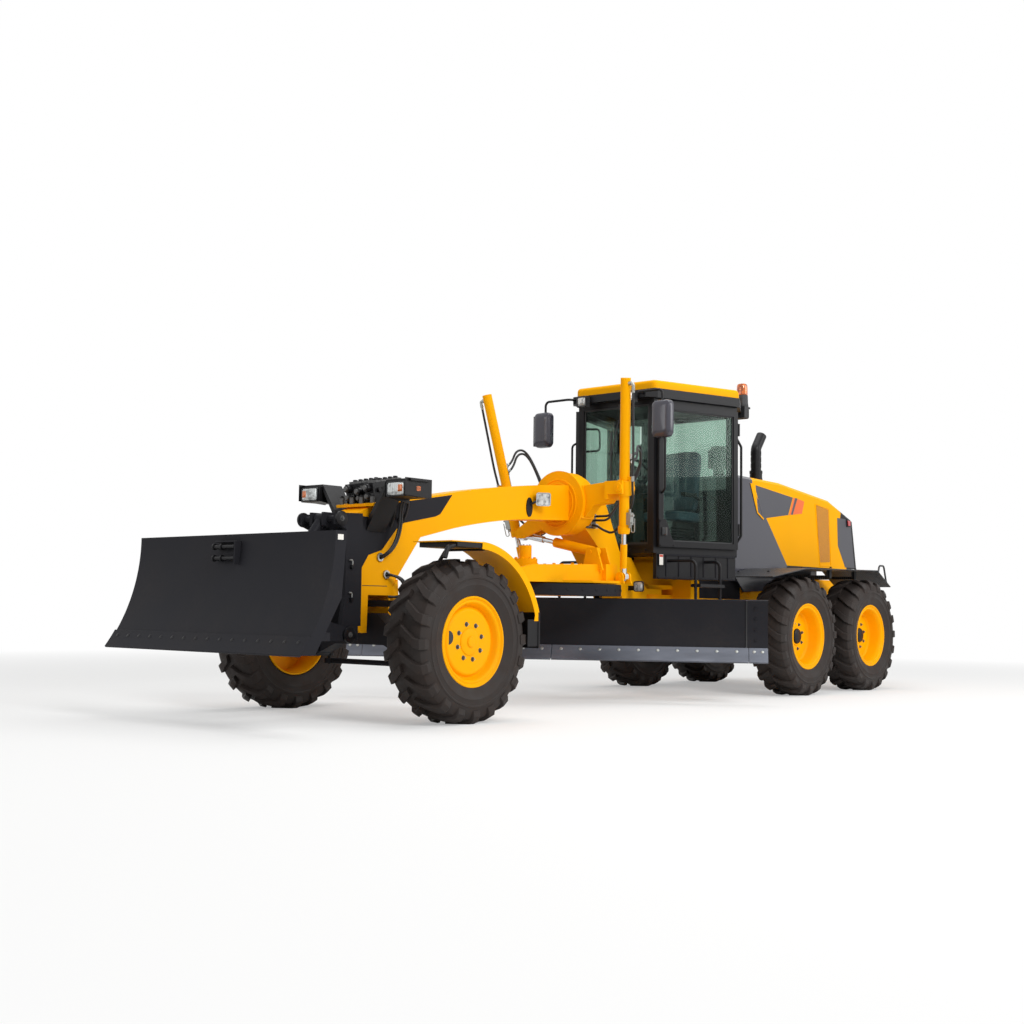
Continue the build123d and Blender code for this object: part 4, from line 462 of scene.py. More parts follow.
def clear_glass():
    """Tempered window glass with a green cast, which lets lamp light through as a thin pane does."""
    tree, surface, _ = begin("clear_glass")
    surface.inputs["Base Color"].default_value = linear("DAE6E0")
    surface.inputs["Transmission Weight"].default_value = 1.0
    surface.inputs["Roughness"].default_value = 0.0
    surface.inputs["IOR"].default_value = 1.45
    surface.inputs["Specular IOR Level"].default_value = 0.12
    shadow = add(tree, "ShaderNodeLightPath").outputs["Is Shadow Ray"]
    through = add(tree, "ShaderNodeBsdfTransparent", (), {"Color": linear("DAE6E0")})
    share = add(tree, "ShaderNodeMath", {"operation": "MAXIMUM"}, {0: shadow, 1: 0.88}).outputs[0]
    pane = add(tree, "ShaderNodeMixShader", (), {0: share})
    tree.links.new(surface.outputs[0], pane.inputs[1])
    tree.links.new(through.outputs[0], pane.inputs[2])
    tree.links.new(pane.outputs[0], tree.nodes["Material Output"].inputs["Surface"])


def lens(name, code, rib_mm):
    """Moulded lamp lens: ribbed acrylic over a bowl; its colour is painted with bright and dark patches, a
    painted reflection of the bowl, and with darker bands on the ribs, painted shade.
    """
    tree, surface, place = begin(name)
    ribs = add(tree, "ShaderNodeTexWave", {"bands_direction": "Y"},
               {"Vector": place, "Scale": per_metre(rib_mm) / 6, "Distortion": 1.5}).outputs["Fac"]
    patches = grain(tree, place, 45, 2)
    base = linear(code)
    dark = shaded(base, 0.4)
    # painted reflection: patches of the lens colour darkened to 0.4, standing in for the bowl's reflection
    shade = mixed(tree, ramp(tree, patches, 0.40, 0.52, 0.0, 1.0), dark, base)
    # painted shade: the ribs darken the colour in bands
    shade = mixed(tree, ramp(tree, ribs, 0.0, 1.0, 0.0, 0.3), shade, dark)
    tree.links.new(shade, surface.inputs["Base Color"])
    surface.inputs["Roughness"].default_value = 0.10
    surface.inputs["Metallic"].default_value = 0.3
    surface.inputs["Coat Weight"].default_value = 1.0
    bumped(tree, surface, ribs, 0.6)


def lamp_lens():
    """Clear lens over a polished bowl."""
    lens("lamp_lens", "D9DDDC", 14)


def amber_lens():
    """Amber acrylic of the beacon and the turn lamps."""
    lens("amber_lens", "D86A04", 16)


def red_lens():
    """Red acrylic of the tail lamps."""
    lens("red_lens", "C01824", 16)


def cab_plastic():
    """Moulded ABS with a leather-like grain of 2 mm, drawn at 5 mm so that it shows."""
    tree, surface, place = begin("cab_plastic")
    cells = add(tree, "ShaderNodeTexVoronoi", (),
                {"Vector": place, "Scale": per_metre(5)}).outputs["Distance"]
    tree.links.new(mixed(tree, grain(tree, place, 120), linear("17181A"), linear("2B2C2F")),
                   surface.inputs["Base Color"])
    surface.inputs["Roughness"].default_value = 0.55
    bumped(tree, surface, cells, 0.3)


def seat_vinyl():
    """Blue black seat vinyl under its clear transit cover, which wrinkles; the folds are painted a paler blue
    grey, a painted highlight of the cover catching light.
    """
    tree, surface, place = begin("seat_vinyl")
    folds_and_sheen = grain(tree, place, 70, 6)
    # painted highlight: the folds are painted paler, as light on the cover
    tree.links.new(mixed(tree, ramp(tree, folds_and_sheen, 0.5, 0.72, 0, 0.6), linear("1D2C33"), linear("5E7478")),
                   surface.inputs["Base Color"])
    surface.inputs["Roughness"].default_value = 0.3
    surface.inputs["Coat Weight"].default_value = 0.6
    bumped(tree, surface, folds_and_sheen, 6)


def mirror_glass():
    """Silvered mirror glass."""
    tree, surface, place = begin("mirror_glass")
    surface.inputs["Metallic"].default_value = 1.0
    surface.inputs["Base Color"].default_value = linear("C9D0D2")
    tree.links.new(ramp(tree, grain(tree, place, 200), 0.3, 0.8, 0.02, 0.06), surface.inputs["Roughness"])


def film(name, code):
    """Printed vinyl film stuck on enamel."""
    tree, surface, place = begin(name)
    base = linear(code)
    faded = ramp(tree, grain(tree, place, 200), 0.4, 0.8, 0, 0.2)
    tree.links.new(mixed(tree, faded, base, shaded(base, 0.7)), surface.inputs["Base Color"])
    surface.inputs["Roughness"].default_value = 0.35
    bumped(tree, surface, grain(tree, place, 30), 0.1)


def films():
    """Films of the hood panel, its stripes and the blank labels."""
    for name, code in (("charcoal_film", "44444B"), ("stripe_film", colours().stripe),
                       ("white_film", "E9E6DE"), ("red_film", "C5402A")):
        film(name, code)


def perforated_sheet():
    """Yellow sheet with punched rows of holes 14 mm apart, the holes painted dark brown as painted shade of
    the space behind them.
    """
    tree, surface, place = begin("perforated_sheet")
    flat = add(tree, "ShaderNodeMapping", (), {"Vector": place, "Rotation": (pi / 2, 0, 0)}).outputs[0]
    cells = add(tree, "ShaderNodeTexVoronoi", {"voronoi_dimensions": "2D"},
                {"Vector": flat, "Scale": per_metre(14), "Randomness": 0.0}).outputs["Distance"]
    shaded_hole = ramp(tree, cells, 0.24, 0.34, 1.0, 0.0)
    # painted shade: the holes are painted dark brown in place of the shade behind them
    tree.links.new(mixed(tree, shaded_hole, linear("D48A00"), linear("8A5A06")), surface.inputs["Base Color"])
    surface.inputs["Roughness"].default_value = 0.5
    bumped(tree, surface, shaded_hole, -1.0)


FINISHES = (yellow_enamel, charcoal_enamel, cowl_enamel, black_enamel, tread_plate, tyre_rubber,
            hose_rubber, hard_chrome, zinc, edge_steel, cast_iron, clear_glass, lamp_lens, amber_lens,
            red_lens, cab_plastic, seat_vinyl, mirror_glass, films, perforated_sheet)

# each finish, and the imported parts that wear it
WORN_BY = (
    ("yellow_enamel", "front_frame saddle lift_barrel_left lift_barrel_right drawbar shift_cylinder "
     "blade_carrier front_fender_left front_fender_right rear_frame rear_bumper engine_hood cab_roof"),
    ("charcoal_enamel", "circle moldboard dozer_blade dozer_mount dozer_cylinder rear_axle front_axle "
     "lean_bracket_left lean_bracket_right lean_bar tie_rod"),
    ("cowl_enamel", "front_cowl"),
    ("black_enamel", "cab_frame door_left door_right tail_grille valve_block headlamps exhaust_stack "
     "side_boxes ladders mirrors knuckle_left knuckle_right"),
    ("tread_plate", "rear_fenders"),
    ("hard_chrome", "lift_rod_left lift_rod_right shift_cylinder_rod dozer_cylinder_rod drawbar_ball"),
    ("zinc", "tie_rod_cross"),
    ("cast_iron", "engine"),
    ("clear_glass", "cab_windows door_glass_left door_glass_right"),
    ("cab_plastic", "air_precleaner seat_base cab_console roof_lamps"),
)


# ---- hoses ----
WORK_HOSE = 0.024        # outside diameter of the hoses of the valves and lift cylinders


def route_curve(name, points):
    """Open NURBS curve for a hose that lies along given points."""
    data = bpy.data.curves.new(name, "CURVE")
    data.dimensions = "3D"
    spline = data.splines.new("NURBS")
    spline.points.add(len(points) - 1)
    for point, place in zip(spline.points, points):
        point.co = (*place, 1)
    spline.order_u = 3
    spline.use_endpoint_u = True
    spline.resolution_u = 12
    return data


def hose(name, points, body, diameter=None):
    """Rubber hose along a spline, fixed at both ends to one body."""
    data = route_curve(name, points)
    data.bevel_depth = (diameter or sizes().hose) / 2
    data.bevel_resolution = 5
    data.use_fill_caps = True
    data.materials.append(bpy.data.materials["hose_rubber"])
    place_piece(name, data, body)


def route_points(name, points):
    """Points read back from the spline of a route."""
    data = route_curve(name + "_route", points)
    route = bpy.data.objects.new(data.name, data)
    bpy.context.collection.objects.link(route)
    mesh = bpy.data.meshes.new_from_object(route)
    found = [vertex.co.copy() for vertex in mesh.vertices]
    bpy.data.objects.remove(route)
    bpy.data.curves.remove(data)
    bpy.data.meshes.remove(mesh)
    return found


def bending_hose(name, points, diameter):
    """Hose between two bodies that move: a still mesh along its route, riding on no body."""
    form = Form(name)
    form.pipe(route_points(name, points), diameter / 2, "hose_rubber", 12)
    piece = form.done(None, "dark_plastic")
    tuple(points[0])
    tuple(points[-1])
    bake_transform(piece)


def work_lamp(form, glass, centre, facing, width, height, rim="hard_chrome"):
    """Square work lamp: a black housing with a bright rim, and its lens."""
    facing = Vector(facing).normalized()
    right = facing.cross(Z).normalized()
    turn = Matrix((right, right.cross(facing), facing)).transposed()
    shape = rounded_rectangle(width, height, 0.02)

    def rings(*steps):
        return [[centre + turn @ Vector((u * grow, v * grow, out)) for u, v in shape] for out, grow in steps]

    form.skin(rings((-0.060, 0.55), (-0.045, 0.80), (-0.012, 0.96), (0.0, 0.96)), "cab_plastic")
    form.skin(rings((-0.002, 0.90), (-0.002, 1.0), (0.018, 1.0), (0.018, 0.86), (0.006, 0.84), (0.006, 0.80)),
              rim)
    glass.skin(rings((0.004, 0.86), (0.010, 0.84), (0.014, 0.6), (0.015, 0.2)), "lamp_lens")


def fitting(form, place, along, diameter):
    """Hose end at a port: a collar, a hexagon nut and the crimped ferrule that the hose leaves by."""
    place, along = Vector(place), Vector(along).normalized()
    d = diameter
    form.lathe(((0, 0.35 * d), (0, 0.75 * d), (0.5 * d, 0.75 * d), (0.5 * d, 0.35 * d)),
               place - along * d * 0.1, along, "zinc", 16)
    turn = aim(along)
    form.skin([[place + turn @ Vector((0.85 * d * cos(tau * k / 6), 0.85 * d * sin(tau * k / 6), s * d))
                for k in range(6)] for s in (0.4, 1.0)], "zinc")
    form.lathe(((1.0 * d, 0.3 * d), (1.0 * d, 0.62 * d), (2.2 * d, 0.66 * d), (2.3 * d, 0.3 * d)),
               place, along, "zinc", 16)


# ---- wheels ----
LUG_RADIUS = 0.64        # radius at which a lug's width is measured
RIM_BOLTS = 8
BOLT_CIRCLE = 0.145


def lug(form, centre, side, start, height):
    """One bar of the chevron tread, from the middle of the tyre round to its shoulder."""
    # across the tyre, radius, the way it stands out, share of the height, half width, lead round the tyre
    line = ((0.008, 0.628, 0.00, 1.00, 1.00, 0.030, 0.000), (0.080, 0.627, 0.00, 1.00, 1.00, 0.032, 0.080),
            (0.147, 0.621, 0.12, 0.99, 1.00, 0.036, 0.160), (0.180, 0.605, 0.45, 0.89, 0.95, 0.040, 0.182),
            (0.198, 0.577, 0.80, 0.60, 0.64, 0.043, 0.182), (0.2045, 0.545, 1.00, 0.10, 0.22, 0.046, 0.182))
    rings = []
    for across, radius, way_y, way_r, share, half, lead in line:
        ring = []
        top = height * share
        for lift, width in ((0.0, half * 1.16), (top - 0.004, half), (top, half * 0.88),
                            (top, -half * 0.88), (top - 0.004, -half), (0.0, -half * 1.16)):
            a = start + lead + width / LUG_RADIUS
            r = radius + way_r * max(lift, 0.0)
            ring.append(centre + Vector((r * sin(a), side * (across + way_y * lift), r * cos(a))))
        rings.append(ring)
    form.skin(rings, "tyre_rubber")


def tyre_profile():
    """Half of the tyre's section as (across, radius), from the tread to the bead."""
    return ((0.0, 0.633), (0.08, 0.632), (0.145, 0.627), (0.180, 0.611), (0.198, 0.584), (0.206, 0.550),
            (0.210, 0.524), (0.2150, 0.518), (0.2145, 0.508), (0.2085, 0.502), (0.2065, 0.465),
            (0.2085, 0.457), (0.2050, 0.447), (0.1980, 0.425), (0.1950, 0.415), (0.1900, 0.397),
            (0.1870, 0.382), (0.180, 0.366), (0.165, 0.356), (0.150, 0.350))


def wheel(node, side, deep):
    """Tyre with chevron lugs, and a stepped rim with its bolted disc; deep where the disc sits far in.

    Each wheel is a body of its own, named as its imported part."""
    centre = middle(node)
    form = Form("tyre_" + node[6:])
    half = tyre_profile()
    profile = list(half) + [(-s, r) for s, r in half[:0:-1]]
    form.lathe(profile, centre, Y, "tyre_rubber", 96)
    count = sizes().lugs
    for k in range(count):
        for edge in (1, -1):
            lug(form, centre, edge, tau * (k + (0.5 if edge > 0 else 0)) / count, sizes().lug_height)
    tyre = form.done(node, "tyre", crease=30)
    out = Vector((0, side, 0))
    rim = Form("rim_" + node[6:])
    disc = 0.018 if deep else 0.132
    wall = [(0.120, 0.296), (disc + 0.040, 0.294), (disc + 0.012, 0.284)] if deep else [
        (0.154, 0.306), (0.116, 0.302), (0.106, 0.294), (0.108, 0.280), (0.122, 0.270)]
    shell = [(-0.174, 0.352), (0.158, 0.352), (0.166, 0.364), (0.178, 0.367), (0.185, 0.361), (0.184, 0.351),
             (0.172, 0.345), (0.166, 0.334), (0.170, 0.328), (0.170, 0.320), (0.162, 0.311)] + wall + [
             (disc - 0.001, 0.262), (disc + 0.003, 0.250), (disc + 0.002, 0.238), (disc + 0.003, 0.218),
             (disc + 0.004, 0.150), (disc + 0.004, 0.0015), (disc - 0.016, 0.0015), (disc - 0.040, 0.28),
             (disc - 0.050, 0.335), (-0.150, 0.335), (-0.174, 0.340)]
    rim.lathe(shell, centre, out, "yellow_enamel", 64)
    if deep:
        hub = [(disc, 0.100), (disc + 0.014, 0.100), (disc + 0.016, 0.088), (disc + 0.008, 0.084),
               (disc + 0.008, 0.0015), (disc, 0.0015)]
        cap = [(disc + 0.004, 0.082), (disc + 0.030, 0.080), (disc + 0.036, 0.070), (disc + 0.036, 0.0015),
               (disc + 0.004, 0.0015)]
        rim.lathe(cap, centre, out, "black_enamel", 40)
    else:
        hub = [(disc, 0.110), (disc + 0.010, 0.108), (disc + 0.015, 0.100), (disc + 0.017, 0.060),
               (disc + 0.018, 0.046), (disc + 0.030, 0.040), (disc + 0.034, 0.030), (disc + 0.034, 0.0015),
               (disc, 0.0015)]
        # half-round hand hole at the edge of the disc, drawn as a thin black plate on the disc's face:
        # painted shade of the hole
        shaded_hole = [centre + out * (disc + 0.0025) + Vector((0.240, 0, 0.035)) + Vector(
            (-0.050 * sin(pi * k / 12), 0, 0.055 * cos(pi * k / 12))) for k in range(13)]
        rim.slab(shaded_hole, out, 0.0022, "hose_rubber")
    rim.lathe(hub, centre, out, "yellow_enamel", 48)
    for k in range(RIM_BOLTS):
        a = tau * (k + 0.35) / RIM_BOLTS
        place = centre + out * (disc + 0.003) + Vector((sin(a), 0, cos(a))) * BOLT_CIRCLE
        rim.bolt(place, out, 0.021, "cast_iron")
        rim.rod(place + out * 0.008, place + out * 0.024, 0.006, "zinc", 10)
    rim.done(node, "yellow_paint", crease=35)
    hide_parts(node)


def wheels():
    """All six wheels; the four behind have the deep disc."""
    for side, hand in SIDES:
        for place in ("front", "mid", "rear"):
            wheel(f"wheel_{place}_{hand}", side, place != "front")


# ---- blades ----
SWING = radians(32)      # how far the blade's left end is swung back
CIRCLE_X = -2.55         # middle of the circle
HALF_BLADE = 2.133


def on_blade(across, along, z):
    """Point from the middle of the circle in the swung blade's own directions: ahead of it, and along it."""
    return at(CIRCLE_X + across * cos(SWING) - along * sin(SWING),
              across * sin(SWING) + along * cos(SWING), z)


AHEAD_OF_BLADE = Vector((cos(SWING), sin(SWING), 0))


def arc(low, mid, high, start, end, lift, steps):
    """Points along the arc through three points, lifted off its front, each with the way the front faces.

    The start and the end are shares of the arc."""
    (ax, az), (bx, bz), (cx, cz) = low, mid, high
    d = 2 * (ax * (bz - cz) + bx * (cz - az) + cx * (az - bz))
    a2, b2, c2 = ax * ax + az * az, bx * bx + bz * bz, cx * cx + cz * cz
    ox = (a2 * (bz - cz) + b2 * (cz - az) + c2 * (az - bz)) / d
    oz = (a2 * (cx - bx) + b2 * (ax - cx) + c2 * (bx - ax)) / d
    centre = Vector((ox, oz))
    first, last = Vector((ax, az)) - centre, Vector((cx, cz)) - centre
    sweep = first.angle_signed(last)
    points = []
    for k in range(steps + 1):
        a = -sweep * (start + (end - start) * k / max(steps, 1))
        ray = Vector((first.x * cos(a) - first.y * sin(a), first.x * sin(a) + first.y * cos(a)))
        points.append((centre + ray * (1 - lift / first.length), -ray.normalized()))
    return points


# low, middle and high point of each blade's front face, as (ahead, up)
BLADE_ARC = ((0.060, 0.430), (-0.060, 0.742), (0.020, 1.030))
DOZER_ARC = ((1.750, 0.572), (1.510, 1.042), (1.450, 1.472))


def strip(form, shape, start, end, thick, ends, place, finish, sink=0.002):
    """Steel strip laid on the front of a blade's curve, between two distances along it."""
    front = [p for p, n in arc(*shape, start, end, thick, 6)]
    back = [p for p, n in arc(*shape, start, end, -sink, 6)]
    outline = front + back[::-1]
    form.skin([[place(p.x, along, p.y) for p in outline] for along in ends], finish)


def blade_edges():
    """Cutting edge with its end bits and bolts, and the bolted end plates of the moldboard."""
    half = HALF_BLADE
    form = Form("blade_cutting_edge")
    for ends in ((-half, -half + 0.185), (-half + 0.187, -0.003), (0.003, half - 0.187),
                 (half - 0.185, half)):
        strip(form, BLADE_ARC, -0.03, 0.235, 0.019, ends, on_blade, "edge_steel")
    form.done("moldboard", "bare_steel", bevel=0.003)
    bolts = Form("blade_bolts")
    (row, ray), = arc(*BLADE_ARC, 0.165, 0.165, 0.018, 0)
    along = AHEAD_OF_BLADE * ray.x + Z * ray.y
    for y in [-2.08, -2.00] + [-1.83 + 3.66 * k / 19 for k in range(20)] + [2.00, 2.08]:
        bolts.lathe(((-0.002, 0.0), (-0.002, 0.0165), (0.003, 0.0165), (0.008, 0.011), (0.009, 0.0)),
                    on_blade(row.x, y, row.y), along, "zinc", 20)
    bolts.done("moldboard", "bare_steel")
    ends = Form("blade_end_plates")
    for side in (1, -1):
        for inner, outer, thick, finish in ((half - 0.20, half, 0.010, "charcoal_enamel"),
                                            (half - 0.212, half - 0.20, 0.0112, "hose_rubber")):
            strip(ends, BLADE_ARC, 0.24, 1.0, thick, sorted((side * inner, side * outer)), on_blade, finish)
        for k in range(4):
            (p, n), = arc(*BLADE_ARC, 0.36 + 0.17 * k, 0.36 + 0.17 * k, 0.009, 0)
            ends.bolt(on_blade(p.x, side * (half - 0.12), p.y), AHEAD_OF_BLADE * n.x + Z * n.y, 0.022,
                      "charcoal_enamel")
    ends.done("moldboard", "charcoal_paint", bevel=0.002)


def dozer_details():
    """Edge, its bolts, the bracket near the top, the label and the stiffeners of the front blade."""
    form = Form("dozer_cutting_edge")
    strip(form, DOZER_ARC, -0.012, 0.160, 0.016, (-1.215, 1.215), at, "charcoal_enamel")
    form.done("dozer_blade", "charcoal_paint", bevel=0.003)
    bolts = Form("dozer_bolts")
    (p, n), = arc(*DOZER_ARC, 0.105, 0.105, 0.015, 0)
    for k in range(16):
        y = -1.13 + 2.26 * k / 15
        bolts.lathe(((-0.002, 0.0), (-0.002, 0.017), (0.002, 0.017), (0.006, 0.011), (0.007, 0.0)),
                    at(p.x, y, p.y), X * n.x + Z * n.y, "black_enamel", 20)
        (b, m), = arc(*DOZER_ARC, 0.125, 0.125, -0.016, 0)
        bolts.bolt(at(b.x, y, b.y), -(X * m.x + Z * m.y), 0.030, "cast_iron")
    bolts.done("dozer_blade", "charcoal_paint")
    bracket = Form("dozer_bracket")
    bracket.box(at(1.482, 0.122, 1.328), (0.060, 0.012, 0.182), "charcoal_enamel")
    bracket.box(at(1.480, -0.006, 1.413), (0.060, 0.244, 0.012), "charcoal_enamel")
    for z in (1.374, 1.284):
        bracket.rod(at(1.500, -0.150, z), at(1.500, 0.116, z), 0.016, "black_enamel", 20)
        for y in (-0.142, -0.045):
            bracket.lathe(((-0.007, 0.0), (-0.007, 0.026), (0.007, 0.026), (0.007, 0.0)), at(1.500, y, z), Y,
                          "black_enamel", 24)
            bracket.box(at(1.478, y, z), (0.044, 0.013, 0.036), "black_enamel")
    bracket.done("dozer_blade", "black_paint", bevel=0.002)
    label = Form("dozer_label")
    label.slab(on_side(1, 1.2152, ((1.375, 1.405), (1.43, 1.405), (1.43, 1.445), (1.375, 1.445))),
               Y, 0.0012, "white_film")
    label.done("dozer_blade", "charcoal_paint")
    trim = Form("dozer_stiffeners")
    for y in (-1.06, -0.80, -0.52, 0.52, 0.80, 1.06):
        back = [p for p, n in arc(*DOZER_ARC, 0.12, 0.90, -0.012, 12)]
        outline = [at(p.x, y, p.y) for p in back] + [at(p.x - 0.075, y, p.y) for p in back[::-1]]
        trim.slab(outline, Y, 0.012, "charcoal_enamel")
    trim.done("dozer_blade", "charcoal_paint", bevel=0.002)


def mount_details():
    """Bolts, pin plates and latch pins of the dozer mount."""
    form = Form("mount_bolts")
    for side in (1, -1):
        for x, z, r in ((0.455, 0.690, 0.044), (0.520, 1.645, 0.040)):
            reach = 0.296 if z < 1 else 0.2385
            plate = ((-0.01, 0.0), (-0.01, r + 0.022), (0.010, r + 0.022), (0.012, r + 0.018), (0.012, 0.0))
            form.lathe(plate, at(x, side * reach, z), Y * side, "black_enamel", 28)
            form.bolt(at(x, side * (reach + 0.011), z), Y * side, 0.024, "cast_iron")
        for z in (0.98, 1.25):
            form.rod(at(0.400, side * 0.2375, z), at(0.400, side * 0.262, z), 0.017, "black_enamel", 20)
            handle = on_side(side, 0.256, ((0.400, z), (0.400, z + 0.055), (0.432, z + 0.055)))
            form.pipe(rounded(handle, 0.018), 0.006, "zinc", 10)
    form.done("front_chassis", "black_paint")


# ---- nose ----
def nose_details():
    """Dark panels on the sides of the nose, its seam and its ports."""
    form = Form("nose_panels")
    outline = ((0.131, 1.700), (0.06, 1.778), (-0.40, 1.861), (-0.90, 1.945), (-0.748, 1.762),
               (-0.690, 1.736), (-0.291, 1.656), (-0.21, 1.607), (-0.03, 1.408), (0.15, 1.352), (0.15, 1.52))
    for side in (1, -1):
        form.slab(on_side(side, 0.1502, outline), Y * side, 0.0025, "charcoal_enamel")
        form.box(at(0.045, side * 0.1505, 1.099), (0.290, 0.002, 0.006), "hose_rubber")
    form.done("front_chassis", "charcoal_paint", bevel=0.0008)
    ports = Form("nose_ports")
    for side in (1, -1):
        for x, z in ((-0.007, 1.345), (-0.083, 1.199)):
            ports.lathe(((0, 0.021), (0, 0.036), (0.004, 0.038), (0.016, 0.036), (0.016, 0.021)),
                        at(x, side * 0.150, z), Y * side, "zinc", 24)
            ports.lathe(((0, 0.0), (0, 0.0215), (0.004, 0.0215), (0.004, 0.0)), at(x, side * 0.150, z),
                        Y * side, "hose_rubber", 24)
    ports.done("front_chassis", "black_paint")


def grown(centre, shape, steps, way=1):
    """Rings of an outline that faces along X, each step (distance along X, size)."""
    return [[centre + Vector((way * x, u * size, v * size)) for u, v in shape] for x, size in steps]


def headlamp_details():
    """Lamp bodies in folded brackets: one wide clear lens each, with an amber turn lamp in its outer part."""
    form = Form("headlamp_bodies")
    glass = Form("headlamp_lenses")
    turn = Form("turn_lamps")
    for side in (1, -1):
        centre = at(0.115, side * 0.540, 1.900)
        shape = rounded_rectangle(0.215, 0.122, 0.022)
        form.skin(grown(centre, shape, (
            (-0.20, 0.90), (-0.17, 0.98), (0.070, 1.0), (0.090, 1.0), (0.090, 0.92), (0.074, 0.90))),
            "cab_plastic")
        glass.skin(grown(centre, shape, (
            (0.066, 0.90), (0.084, 0.90), (0.092, 0.82), (0.096, 0.55), (0.097, 0.2))), "lamp_lens")
        small = rounded_rectangle(0.050, 0.060, 0.010)
        amber = at(0.115, side * 0.600, 1.903)
        turn.skin(grown(amber, small, ((0.080, 1.0), (0.0965, 1.0), (0.0995, 0.85), (0.1005, 0.4))),
                  "amber_lens")
        small = rounded_rectangle(0.030, 0.040, 0.008)
        turn.skin([[at(0.060, side * (0.6480 + y), 1.905) + Vector((u * 1.6, 0, v)) for u, v in small]
                   for y in (0.0, 0.0225)], "amber_lens")
        # guard plates of the bracket
        for y, thick, outline in (
                (0.664, 0.004, ((-0.10, 1.83), (0.215, 1.845), (0.215, 1.99), (-0.10, 1.99))),
                (0.41, 0.006, ((-0.08, 1.80), (0.20, 1.838), (0.20, 1.966), (-0.08, 1.966)))):
            form.slab(on_side(side, y, outline), Y * side, thick, "black_enamel")
        for x in (-0.03, 0.06, 0.15):
            form.bolt(at(x, side * 0.164, 1.60), Y * side, 0.022, "cast_iron")
    form.done("front_chassis", "dark_plastic", bevel=0.0015)
    glass.done("front_chassis", "glass")
    turn.done("front_chassis", "glass")


def valve_details():
    """Yellow tray, spool sections, end caps, studs and hoses of the valve block on the nose."""
    form = Form("valve_parts")
    slope = (1.900 - 1.790) / 0.610
    turn = Matrix.Rotation(atan(slope), 3, "Y")

    def on_tray(x, y, lift):
        return at(x, y, 1.790 + (0.060 - x) * slope + 0.022 + lift)

    tray = Form("valve_tray")
    tray.box(on_tray(-0.100, 0, -0.011), (0.526, 0.466, 0.025), "yellow_enamel", turn)
    tray.done("front_chassis", "yellow_paint", bevel=0.002)
    for y, x0, x1, height in ((-0.12, -0.235, 0.075, 0.170), (0.0, -0.220, 0.060, 0.130),
                              (0.12, -0.235, 0.075, 0.170)):
        for k in range(5):
            x = x0 + (x1 - x0) * (k + 0.5) / 5
            place = on_tray(x, y, height)
            form.box(place + Z * 0.006, ((x1 - x0) / 5 - 0.008, 0.098, 0.022), "cast_iron")
            form.lathe(((0.0, 0.0), (0.0, 0.021), (0.014, 0.021), (0.018, 0.016), (0.020, 0.0)),
                       place + Z * 0.016, Z, "black_enamel", 18)
            for edge in (1, -1):
                side_place = on_tray(x, y + edge * 0.052, height * 0.62)
                form.rod(side_place, side_place + Y * edge * 0.022, 0.019, "black_enamel", 14)
        # caps that face ahead, one over the other
        for lift, radius, reach in ((height * 0.28, 0.030, 0.055), (height * 0.72, 0.034, 0.075)):
            start = on_tray(x1, y, lift)
            form.rod(start - X * 0.02, start + X * reach, radius, "black_enamel", 24)
            form.rod(start + X * (reach - 0.004), start + X * (reach + 0.016), radius * 0.62, "cast_iron", 20)
            form.box(start + X * 0.010 + Z * 0.004, (0.030, 0.092, 0.052), "cast_iron")
    for x, y in ((0.130, -0.190), (0.135, -0.060), (0.135, 0.060), (0.130, 0.190)):
        place = on_tray(x, y, 0.0)
        form.rod(place, place + Z * 0.060, 0.020, "cast_iron", 16)
        form.bolt(place + Z * 0.058, Z, 0.026, "black_enamel")
    form.done("front_chassis", "cast_iron", bevel=0.0015)
    for number, x in enumerate((-0.20, -0.13, -0.04)):
        for side, first in ((1, 1), (-1, 4)):
            start = on_tray(x, side * 0.190, 0.105)
            low = -0.02 * number
            hose(f"valve_hose_{first + number}", [start + Vector(step) for step in (
                (0, 0, 0), (0, side * 0.045, 0.0), (-0.02, side * 0.070, -0.03), (-0.05, side * 0.055, -0.12),
                (-0.08, side * 0.012, -0.20 + low), (-0.09, -side * 0.040, -0.28 + low))],
                "front_chassis", WORK_HOSE)


# ---- saddle and cylinders ----
def saddle_details():
    """Raised rings of the collar's discs, caps of the lift pivots and gussets of the arms."""
    form = Form("saddle_rings")
    for x, way in ((-2.613, 1), (-2.873, -1)):
        for low, high in ((0.192, 0.204), (0.232, 0.248)):
            form.lathe(((-0.002, low), (0.005, low), (0.007, low + 0.003), (0.007, high - 0.003),
                        (0.005, high), (-0.002, high)), at(x, 0, 1.990), X * way, "yellow_enamel", 64)
    for side in (1, -1):
        for x in (-2.829, -2.621):
            way = 1 if x > -2.7 else -1
            form.lathe(((-0.012, 0.0), (-0.012, 0.046), (0.010, 0.046), (0.014, 0.040), (0.014, 0.0)),
                       at(x, side * 0.757, 2.120), X * way, "yellow_enamel", 24)
            form.bolt(at(x + way * 0.013, side * 0.757, 2.120), X * way, 0.020, "yellow_enamel")
        # gusset between the collar and the arm
        gusset = ((-2.640, 2.162), (-2.640, 1.831), (-2.840, 1.831), (-2.840, 2.162))
        form.slab(on_side(side, 0.2900, gusset), Y * side, 0.010, "yellow_enamel")
    form.done("front_chassis", "yellow_paint")


def lift_eye(side):
    """Lower pin of a lift cylinder."""
    return at(-2.886, side * 0.635, 1.250)


def barrel_frame(side):
    """Pivot of a lift cylinder, the way its rod points, and the ways square to it: out and back."""
    pivot = at(-2.725, side * 0.757, 2.120)
    down = (lift_eye(side) - pivot).normalized()
    flat = Vector((0.10, side, 0))
    out = (flat - down * down.dot(flat)).normalized()
    back = out.cross(down)
    if back.x > 0:
        back = -back
    return pivot, down, out, back


def hose_union(pivot, down, out):
    """Where a barrel's supply hose meets the low hose."""
    return pivot - down * 0.10 + out * 0.102


